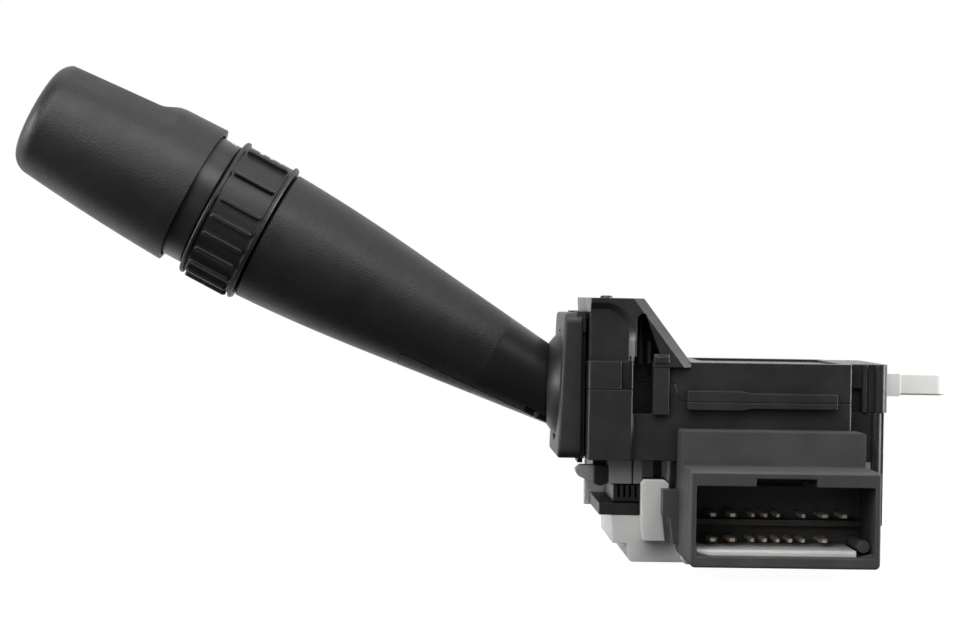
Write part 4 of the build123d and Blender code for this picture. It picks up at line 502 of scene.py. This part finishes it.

# ------------------------------------------------------------------ latch of the lower cover
# On each side of the root the cover snaps in with a small hook, in smooth black plastic, between two slots
# that open into the shade inside the lever. The slots are drawn as sheets of painted shade laid on the skin.
ROOT_RADIUS = 7.36          # of the lever's skin at its root
TAPER = tan(radians(6.48))  # how fast that radius grows along the lever
SLOTS = ((-2.3, -0.55), (0.55, 2.8))
SLOT_HEIGHT = (-6.72, -5.68)
SLOT_CELLS = 6              # faces along and across a slot, so that it follows the round skin
LAID_ON = 0.03              # how far a face that is laid on stands off what is below it
HOOK = ((-0.65, -6.5), (-0.05, -6.75), (0.65, -5.85), (0.1, -5.65))
HOOK_ROOT = 0.1
HOOK_OUT = 0.3
HAZE_MM = 1.5


def painted_slot_shade():
    """Painted shade: near-black sheets for the shade inside the lever, seen through a slot."""
    material, tree, place = start_material("painted_slot_shade_black")
    haze = add(tree, "ShaderNodeTexNoise", Vector=place, Scale=1 / (HAZE_MM * MM), Detail=3.0)
    colour = add(
        tree,
        "ShaderNodeMix",
        {"data_type": "RGBA"},
        _0=haze.outputs[0],
        _6=linear("#020202"),
        _7=linear("#070707"),
    )
    shader = add(
        tree,
        "ShaderNodeBsdfPrincipled",
        Base_Color=colour.outputs[2],
        Roughness=0.8,
        Specular_IOR_Level=0.1,
    )
    add(tree, "ShaderNodeOutputMaterial", Surface=shader.outputs[0])
    return material


def on_lever(distance, height, side, lift):
    """A point on the lever's skin, given along the lever and outward from its axis, in mm."""
    radius = ROOT_RADIUS + distance * TAPER + lift
    return in_lever(distance, height, side * (radius**2 - height**2) ** 0.5)


def slot_faces(name, side, material):
    """The two slots of one side, as small faces that follow the skin."""
    corners = []
    faces = []
    bottom, top = SLOT_HEIGHT
    for start, end in SLOTS:
        first = len(corners)
        for i in range(SLOT_CELLS + 1):
            for j in range(SLOT_CELLS + 1):
                distance = start + (end - start) * i / SLOT_CELLS
                height = bottom + (top - bottom) * j / SLOT_CELLS
                corners.append(on_lever(distance, height, side, LAID_ON) * MM)
        for i in range(SLOT_CELLS):
            for j in range(SLOT_CELLS):
                a = first + i * (SLOT_CELLS + 1) + j
                b = a + SLOT_CELLS + 1
                faces.append((a, a + 1, b + 1, b) if side > 0 else (a, b, b + 1, a + 1))
    mesh = bpy.data.meshes.new(name)
    mesh.from_pydata(corners, [], faces)
    mesh.materials.append(material)
    return mesh


# Painted shade: the slots are dark sheets laid on the skin, not openings.
slot_shade = painted_slot_shade()
for label, side in (("front", -1), ("rear", 1)):
    piece("latch_slot_shade_" + label, slot_faces("latch_slot_shade_" + label, side, slot_shade), "lever")
    hook = pushed_out(
        "latch_hook_" + label,
        [on_lever(distance, height, side, -HOOK_ROOT) for distance, height in HOOK],
        (0, side * HOOK_OUT, 0),
        collar_black,
    )
    piece("latch_hook_" + label, hook, "lever")

# ------------------------------------------------------------------ ring and knob
# The same spark-eroded grain on the ring and the knob, which are moulded in the lever's plastic. The ring's
# pits are a little smaller and flatter, because its ribs are narrow.
ring_black = spark_grained("spark_grained_abs_ring_black", "#121213", "#19191a", 0.40, 0.50, 0.45, 0.028)
knob_black = spark_grained("spark_grained_abs_knob_black", "#131314", "#1a1a1b", 0.40, 0.50, 0.5, 0.035)
dress(ring_black, "rotary_ring")
dress(knob_black, "end_knob")

# ------------------------------------------------------------------ printed marks
# White pad print, worn a little: a bar and a row of dots that grow, near the top of the ring, and a pointer
# on the collar for them to be set against. They are plain shapes with no lettering.
RING_MIDDLE = 72.95         # from the lever's root, in mm as all sizes here
RING_FACE = 14.4            # radius of the ring between its ribs
RING_TURN = radians(78)     # how far round from the front the marks lie
BAR_ASIDE = 0.9
BAR_LENGTH = 5.2
BAR_WIDTH = 0.35
DOT_ASIDE = 0.5
DOT_PITCH = 2.2
DOT_RADII = (0.3, 0.45, 0.6)
DOT_CORNERS = 16
COLLAR_FACE = 13.4          # radius of the collar
COLLAR_TURN = radians(80)
POINTER_START = 80.3
POINTER_TIP = 82.6
POINTER_HALF = 0.5
WORN_PATCH_MM = 0.6
WORN_SPREAD = (0.35, 0.65)


def pad_print():
    """White printing ink, thinner and greyer in small patches."""
    material, tree, place = start_material("pad_print_white")
    low, high = WORN_SPREAD
    wear = add(tree, "ShaderNodeTexNoise", Vector=place, Scale=1 / (WORN_PATCH_MM * MM), Detail=4.0)
    thick = add(tree, "ShaderNodeMapRange", Value=wear.outputs[0], From_Min=low, From_Max=high)
    colour = add(
        tree,
        "ShaderNodeMix",
        {"data_type": "RGBA"},
        _0=thick.outputs[0],
        _6=linear("#b4b4b2"),
        _7=linear("#dededc"),
    )
    shader = add(tree, "ShaderNodeBsdfPrincipled", Base_Color=colour.outputs[2], Roughness=0.55)
    add(tree, "ShaderNodeOutputMaterial", Surface=shader.outputs[0])
    return material


def wrapped(name, outlines, radius, material):
    """Flat outlines of (distance along the lever, arc length) points, laid round the lever on a radius."""
    corners = []
    faces = []
    for outline in outlines:
        faces.append(tuple(range(len(corners), len(corners) + len(outline))))
        for distance, arc in outline:
            turn = arc / radius
            outward = Vector((0, -cos(turn), 0)) + OUT * sin(turn)
            corners.append(ROOT + (ALONG * distance + outward * (radius + LAID_ON)) * MM)
    mesh = bpy.data.meshes.new(name)
    mesh.from_pydata(corners, [], faces)
    mesh.materials.append(material)
    return mesh


def dot(distance, arc, radius):
    """A round dot, as an outline."""
    turns = [2 * pi * i / DOT_CORNERS for i in range(DOT_CORNERS)]
    return [(distance + radius * cos(t), arc + radius * sin(t)) for t in turns]


print_white = pad_print()
ring_arc = RING_TURN * RING_FACE
bar = [
    (RING_MIDDLE + a * BAR_LENGTH / 2, ring_arc - BAR_ASIDE + b * BAR_WIDTH / 2)
    for a, b in ((-1, -1), (1, -1), (1, 1), (-1, 1))
]
dots = [
    dot(RING_MIDDLE + DOT_PITCH * (i - 1), ring_arc + DOT_ASIDE, radius)
    for i, radius in enumerate(DOT_RADII)
]
piece("ring_marks", wrapped("ring_marks", [bar] + dots, RING_FACE, print_white), "ring")

collar_arc = COLLAR_TURN * COLLAR_FACE
pointer = [
    (POINTER_START, collar_arc - POINTER_HALF),
    (POINTER_TIP, collar_arc),
    (POINTER_START, collar_arc + POINTER_HALF),
]
piece("collar_index", wrapped("collar_index", [pointer], COLLAR_FACE, print_white), "lever")

# ------------------------------------------------------------------ contact base and plate
# Base of unfilled natural nylon, which lets light in a little way, so it looks milky and soft at its edges.
# It snaps up under the housing and holds the dark phenolic plate that the carriages slide on.
NYLON_IOR = 1.53
NYLON_DEPTH = Vector((2.0, 2.0, 2.0)) * MM  # how far light gets into it
NYLON_CLOUD_MM = 6.0
NYLON_EDGE_MM = 0.25
NYLON_GRAIN_MM = 0.4
NYLON_ROUGHNESS = (0.3, 0.42)
TOOL_GRAIN_MM = 0.004       # height of the grain that a plain tool leaves


def milky_nylon():
    """Unfilled nylon: pale, waxy and a little translucent."""
    material, tree, place = start_material("natural_nylon")
    cloud = add(tree, "ShaderNodeTexNoise", Vector=place, Scale=1 / (NYLON_CLOUD_MM * MM), Detail=3.0)
    colour = add(
        tree,
        "ShaderNodeMix",
        {"data_type": "RGBA"},
        _0=cloud.outputs[0],
        _6=linear("#bbbcba"),
        _7=linear("#cbccca"),
    )
    grain = add(tree, "ShaderNodeTexNoise", Vector=place, Scale=1 / (NYLON_GRAIN_MM * MM), Detail=2.0)
    edge = add(tree, "ShaderNodeBevel", {"samples": 4}, Radius=NYLON_EDGE_MM * MM)
    bump = add(
        tree, "ShaderNodeBump", Height=grain.outputs[0], Distance=TOOL_GRAIN_MM * MM, Normal=edge.outputs[0]
    )
    gloss, matt = NYLON_ROUGHNESS
    rough = add(tree, "ShaderNodeMapRange", Value=cloud.outputs[0], To_Min=gloss, To_Max=matt)
    shader = add(
        tree,
        "ShaderNodeBsdfPrincipled",
        Base_Color=colour.outputs[2],
        Roughness=rough.outputs[0],
        Normal=bump.outputs[0],
        IOR=NYLON_IOR,
        Subsurface_Weight=0.5,
        Subsurface_Radius=NYLON_DEPTH,
        Subsurface_Scale=1.0,
    )
    add(tree, "ShaderNodeOutputMaterial", Surface=shader.outputs[0])
    return material


dress(milky_nylon(), "contact_base", "terminal_retainer")
phenolic = moulded("phenolic_black", "#161616", "#201f1e", 0.4, 0.5, 0.3, 0.004)
dress(phenolic, "contact_plate", "light_contact_plate")

# ------------------------------------------------------------------ dimmer carriage
# Slider moulded in grey acetal, waxy and straight off the tool, with a claw at the lever's end. The claw is a
# shade darker than the block, and the neck between them is painted black: painted shade for the gap there.
ACETAL_IOR = 1.48
ACETAL_CLOUD_MM = 2.5
ACETAL_GRAIN_MM = 0.35
ACETAL_EDGE_MM = 0.2
ACETAL_ROUGHNESS = (0.36, 0.46)
CLAW_ENDS_X = (-0.3, -0.2)  # the claw's colour turns to the block's here, in mm as all sizes here
NECK_STARTS_X = (-3.3, -2.8)
CLAW_Y = (-14.98, -10.02)
CHEEK = (                   # X and Z of the cheek that fills the claw under its nose
    (-6.68, -16.62),
    (-6.6, -17.3),
    (-6.1, -17.95),
    (-4.4, -18.75),
    (-1.85, -19.86),
    (-1.3, -19.2),
    (-6.0, -16.2),
)


def neck_shaded_acetal():
    """Grey acetal in two shades, with painted shade blackening the neck of the claw."""
    material, tree, place = start_material("acetal_grey_painted_neck_shade")
    where = add(tree, "ShaderNodeSeparateXYZ", Vector=place)
    past_claw = add(
        tree,
        "ShaderNodeMapRange",
        Value=where.outputs[0],
        From_Min=CLAW_ENDS_X[0] * MM,
        From_Max=CLAW_ENDS_X[1] * MM,
    )
    past_nose = add(
        tree,
        "ShaderNodeMapRange",
        Value=where.outputs[0],
        From_Min=NECK_STARTS_X[0] * MM,
        From_Max=NECK_STARTS_X[1] * MM,
    )
    cloud = add(tree, "ShaderNodeTexNoise", Vector=place, Scale=1 / (ACETAL_CLOUD_MM * MM), Detail=4.0)
    # The third pair of greys is painted shade, laid on the neck of the claw.
    claw, block, painted_neck_shade = [
        add(
            tree,
            "ShaderNodeMix",
            {"data_type": "RGBA"},
            _0=cloud.outputs[0],
            _6=linear(dark),
            _7=linear(light),
        )
        for dark, light in (("#868786", "#929391"), ("#9c9d9e", "#a8a9a8"), ("#141414", "#232322"))
    ]
    plain = add(
        tree,
        "ShaderNodeMix",
        {"data_type": "RGBA"},
        _0=past_claw.outputs[0],
        _6=claw.outputs[2],
        _7=block.outputs[2],
    )
    on_claw = add(tree, "ShaderNodeMath", {"operation": "SUBTRACT"}, _0=1.0, _1=past_claw.outputs[0])
    neck = add(
        tree, "ShaderNodeMath", {"operation": "MULTIPLY"}, _0=past_nose.outputs[0], _1=on_claw.outputs[0]
    )
    # Painted shade: the neck between claw and block is painted near black.
    colour = add(
        tree,
        "ShaderNodeMix",
        {"data_type": "RGBA"},
        _0=neck.outputs[0],
        _6=plain.outputs[2],
        _7=painted_neck_shade.outputs[2],
    )
    edge = add(tree, "ShaderNodeBevel", {"samples": 4}, Radius=ACETAL_EDGE_MM * MM)
    grain = add(tree, "ShaderNodeTexNoise", Vector=place, Scale=1 / (ACETAL_GRAIN_MM * MM), Detail=2.0)
    bump = add(
        tree, "ShaderNodeBump", Height=grain.outputs[0], Distance=TOOL_GRAIN_MM * MM, Normal=edge.outputs[0]
    )
    gloss, matt = ACETAL_ROUGHNESS
    rough = add(tree, "ShaderNodeMapRange", Value=cloud.outputs[0], To_Min=gloss, To_Max=matt)
    shader = add(
        tree,
        "ShaderNodeBsdfPrincipled",
        Base_Color=colour.outputs[2],
        Roughness=rough.outputs[0],
        Normal=bump.outputs[0],
        IOR=ACETAL_IOR,
    )
    add(tree, "ShaderNodeOutputMaterial", Surface=shader.outputs[0])
    return material


carriage_grey = neck_shaded_acetal()
dress(carriage_grey, "dimmer_carriage")
cheek = pushed_out(
    "claw_cheek", [(x, CLAW_Y[0], z) for x, z in CHEEK], (0, CLAW_Y[1] - CLAW_Y[0], 0), carriage_grey
)
piece("claw_cheek", cheek, "dimmer_slide")

# ------------------------------------------------------------------ plug socket
# Dark grey shroud moulded in glass-filled polyester, which has a dry, faintly cloudy surface, seated against
# the nylon base. The blades in it are tinned brass, bright with fine lines, and warm where the tin is thin.
shroud_grey = moulded(
    "glass_filled_polyester_grey", "#353535", "#404140", 0.46, 0.58, 0.4, 0.01, edge_mm=0.3, shaded_recess_shine=0.25
)
blade_tin = drawn_metal("tinned_brass", "#dcd6cd", "#f4efe7", 0.38, 0.55, 0.15, 1, below="#cfa68c")
dress(shroud_grey, "connector_shell")
dress(blade_tin, "wide_blades", "narrow_blades")

# ------------------------------------------------------------------ white surround
# A white surround that the camera sees at full strength. What lights the part and shows in its gloss is white
# behind and dim in front, like a dark room on the camera's side, so that black plastic stays black.
FRONT_GLOW = 0.15
BACK_GLOW = 1.0
GLOW_TURNS = (-0.15, 0.55)  # it turns white between these, from -1 straight in front to 1 straight behind

world = bpy.data.worlds.new("white_surround")
bpy.context.scene.world = world
world.use_nodes = True
sky = world.node_tree
sky.nodes.clear()
path = add(sky, "ShaderNodeLightPath")
seen = add(
    sky,
    "ShaderNodeMath",
    {"operation": "MAXIMUM"},
    _0=path.outputs["Is Camera Ray"],
    _1=path.outputs["Is Transmission Ray"],
)
heading = add(sky, "ShaderNodeSeparateXYZ", Vector=add(sky, "ShaderNodeTexCoord").outputs["Generated"])
glow = add(
    sky,
    "ShaderNodeMapRange",
    Value=heading.outputs[1],
    From_Min=GLOW_TURNS[0],
    From_Max=GLOW_TURNS[1],
    To_Min=FRONT_GLOW,
    To_Max=BACK_GLOW,
)
level = add(sky, "ShaderNodeMix", {"data_type": "FLOAT"}, _0=seen.outputs[0], _2=glow.outputs[0], _3=1.0)
backdrop = add(sky, "ShaderNodeBackground", Color=(1, 1, 1, 1), Strength=level.outputs[0])
add(sky, "ShaderNodeOutputWorld", Surface=backdrop.outputs[0])

# ------------------------------------------------------------------ floor
# A sheet of matt white paper just under the part, which keeps its soft shadow and fades into the white
# surround further out. In front the light that it throws back is that of a grey sheet, again to keep black
# plastic black.
FLOOR_HALF = 1.5
FLOOR_GAP = 0.3 * MM
SHADOW_ENDS = (0.16, 0.34)  # distance from the part, in metres, over which the sheet fades out
GREY_ENDS_Y = (0.0, 0.05)   # the grey light turns white between these, in metres
PAPER_GLOW = 1.12           # what the camera sees of the sheet is mostly this glow
FIBRE_MM = 2.0
GLOW_SHARE = 0.86           # the rest is lit by the lamps, and keeps the shadow


def white_paper():
    """Matt paper, with a faint fibre, that fades out round the part."""
    material, tree, place = start_material("matt_paper_white")
    fibre = add(tree, "ShaderNodeTexNoise", Vector=place, Scale=1 / (FIBRE_MM * MM), Detail=2.0)
    camera_ray = add(tree, "ShaderNodeLightPath").outputs["Is Camera Ray"]
    where = add(tree, "ShaderNodeSeparateXYZ", Vector=place)
    behind = add(
        tree,
        "ShaderNodeMapRange",
        Value=where.outputs[1],
        From_Min=GREY_ENDS_Y[0],
        From_Max=GREY_ENDS_Y[1],
    )
    looks_white = add(tree, "ShaderNodeMath", {"operation": "MAXIMUM"}, _0=behind.outputs[0], _1=camera_ray)
    grey, white = [
        add(
            tree,
            "ShaderNodeMix",
            {"data_type": "RGBA"},
            _0=fibre.outputs[0],
            _6=linear(dark),
            _7=linear(light),
        )
        for dark, light in (("#484848", "#4d4d4d"), ("#e4e4e4", "#e8e8e8"))
    ]
    colour = add(
        tree,
        "ShaderNodeMix",
        {"data_type": "RGBA"},
        _0=looks_white.outputs[0],
        _6=grey.outputs[2],
        _7=white.outputs[2],
    )
    paper = add(tree, "ShaderNodeBsdfDiffuse", Color=colour.outputs[2])
    glowing = add(tree, "ShaderNodeEmission", Color=(1, 1, 1, 1), Strength=PAPER_GLOW)
    share = add(tree, "ShaderNodeMath", {"operation": "MULTIPLY"}, _0=camera_ray, _1=GLOW_SHARE)
    sheet = add(tree, "ShaderNodeMixShader", _0=share.outputs[0], _1=paper.outputs[0], _2=glowing.outputs[0])
    reach = add(tree, "ShaderNodeVectorMath", {"operation": "LENGTH"}, _0=place)
    away = add(
        tree,
        "ShaderNodeMapRange",
        Value=reach.outputs["Value"],
        From_Min=SHADOW_ENDS[0],
        From_Max=SHADOW_ENDS[1],
    )
    faded = add(tree, "ShaderNodeMath", {"operation": "MULTIPLY"}, _0=away.outputs[0], _1=camera_ray)
    clear = add(tree, "ShaderNodeBsdfTransparent")
    fading = add(tree, "ShaderNodeMixShader", _0=faded.outputs[0], _1=sheet.outputs[0], _2=clear.outputs[0])
    add(tree, "ShaderNodeOutputMaterial", Surface=fading.outputs[0])
    return material


floor_z = cad_box[0][2] - FLOOR_GAP
floor_corners = [(a * FLOOR_HALF, b * FLOOR_HALF, floor_z) for a, b in ((-1, -1), (1, -1), (1, 1), (-1, 1))]
floor_mesh = bpy.data.meshes.new("floor")
floor_mesh.from_pydata(floor_corners, [], [(0, 1, 2, 3)])
floor_mesh.materials.append(white_paper())
floor = bpy.data.objects.new("floor", floor_mesh)
bpy.context.scene.collection.objects.link(floor)

# ------------------------------------------------------------------ lamps
# Five soft boxes aimed at the middle of the part: a wide one over the front, a weak one from the front left,
# one from straight above for the upper edges, and one at each side for the ends.
PART_MIDDLE = (-0.03, 0, 0.01)


def soft_box(name, stand, size, power):
    """A rectangular lamp on a stand, in metres and watts, aimed at the part."""
    lamp = bpy.data.lights.new(name, "AREA")
    lamp.shape = "RECTANGLE"
    lamp.size, lamp.size_y = size
    lamp.energy = power
    holder = bpy.data.objects.new(name, lamp)
    holder.location = stand
    holder.rotation_euler = (Vector(PART_MIDDLE) - Vector(stand)).to_track_quat("-Z", "Y").to_euler()
    bpy.context.scene.collection.objects.link(holder)


soft_box("lamp_over_front", (-0.05, -0.52, 0.60), (0.9, 0.4), 4.8)
soft_box("lamp_front_left", (-0.50, -0.75, 0.35), (0.4, 0.4), 2.6)
soft_box("lamp_top", (0.0, 0.05, 0.8), (0.9, 0.35), 1.6)
soft_box("lamp_left", (-0.85, -0.08, 0.08), (0.3, 0.6), 6.0)
soft_box("lamp_right", (0.75, -0.08, 0.08), (0.3, 0.6), 11.0)

# ------------------------------------------------------------------ camera
# It looks at the part's right side, almost level and almost square to it, with a long lens. The lever's
# pivot falls on a chosen pixel of the picture.
YAW = radians(1.3)
PITCH = radians(0.6)
ROLL = radians(0.9)
DISTANCE = 0.540            # from the lens to the pivot, in metres
SENSOR = 36.0               # width of the sensor, in mm
FOCAL_PIXELS = 2600.0       # focal length in pixels of the picture
PICTURE = (960, 640)
PIVOT_PIXEL = (605, 385)

forward = Vector((sin(YAW) * cos(PITCH), cos(YAW) * cos(PITCH), -sin(PITCH)))
level_right = forward.cross(Vector((0, 0, 1))).normalized()
level_up = level_right.cross(forward)
right = level_right * cos(ROLL) + level_up * sin(ROLL)
up = level_up * cos(ROLL) - level_right * sin(ROLL)
aside = (PIVOT_PIXEL[0] - PICTURE[0] / 2) / FOCAL_PIXELS
below = (PIVOT_PIXEL[1] - PICTURE[1] / 2) / FOCAL_PIXELS
lens = bpy.data.cameras.new("camera")
lens.sensor_width = SENSOR
lens.lens = FOCAL_PIXELS / PICTURE[0] * SENSOR
camera = bpy.data.objects.new("camera", lens)
turn = Matrix((right, up, -forward)).transposed().to_4x4()
camera.matrix_world = Matrix.Translation(-(forward + right * aside - up * below) * DISTANCE) @ turn
bpy.context.scene.collection.objects.link(camera)
bpy.context.scene.camera = camera
bpy.context.scene.view_settings.view_transform = "Standard"
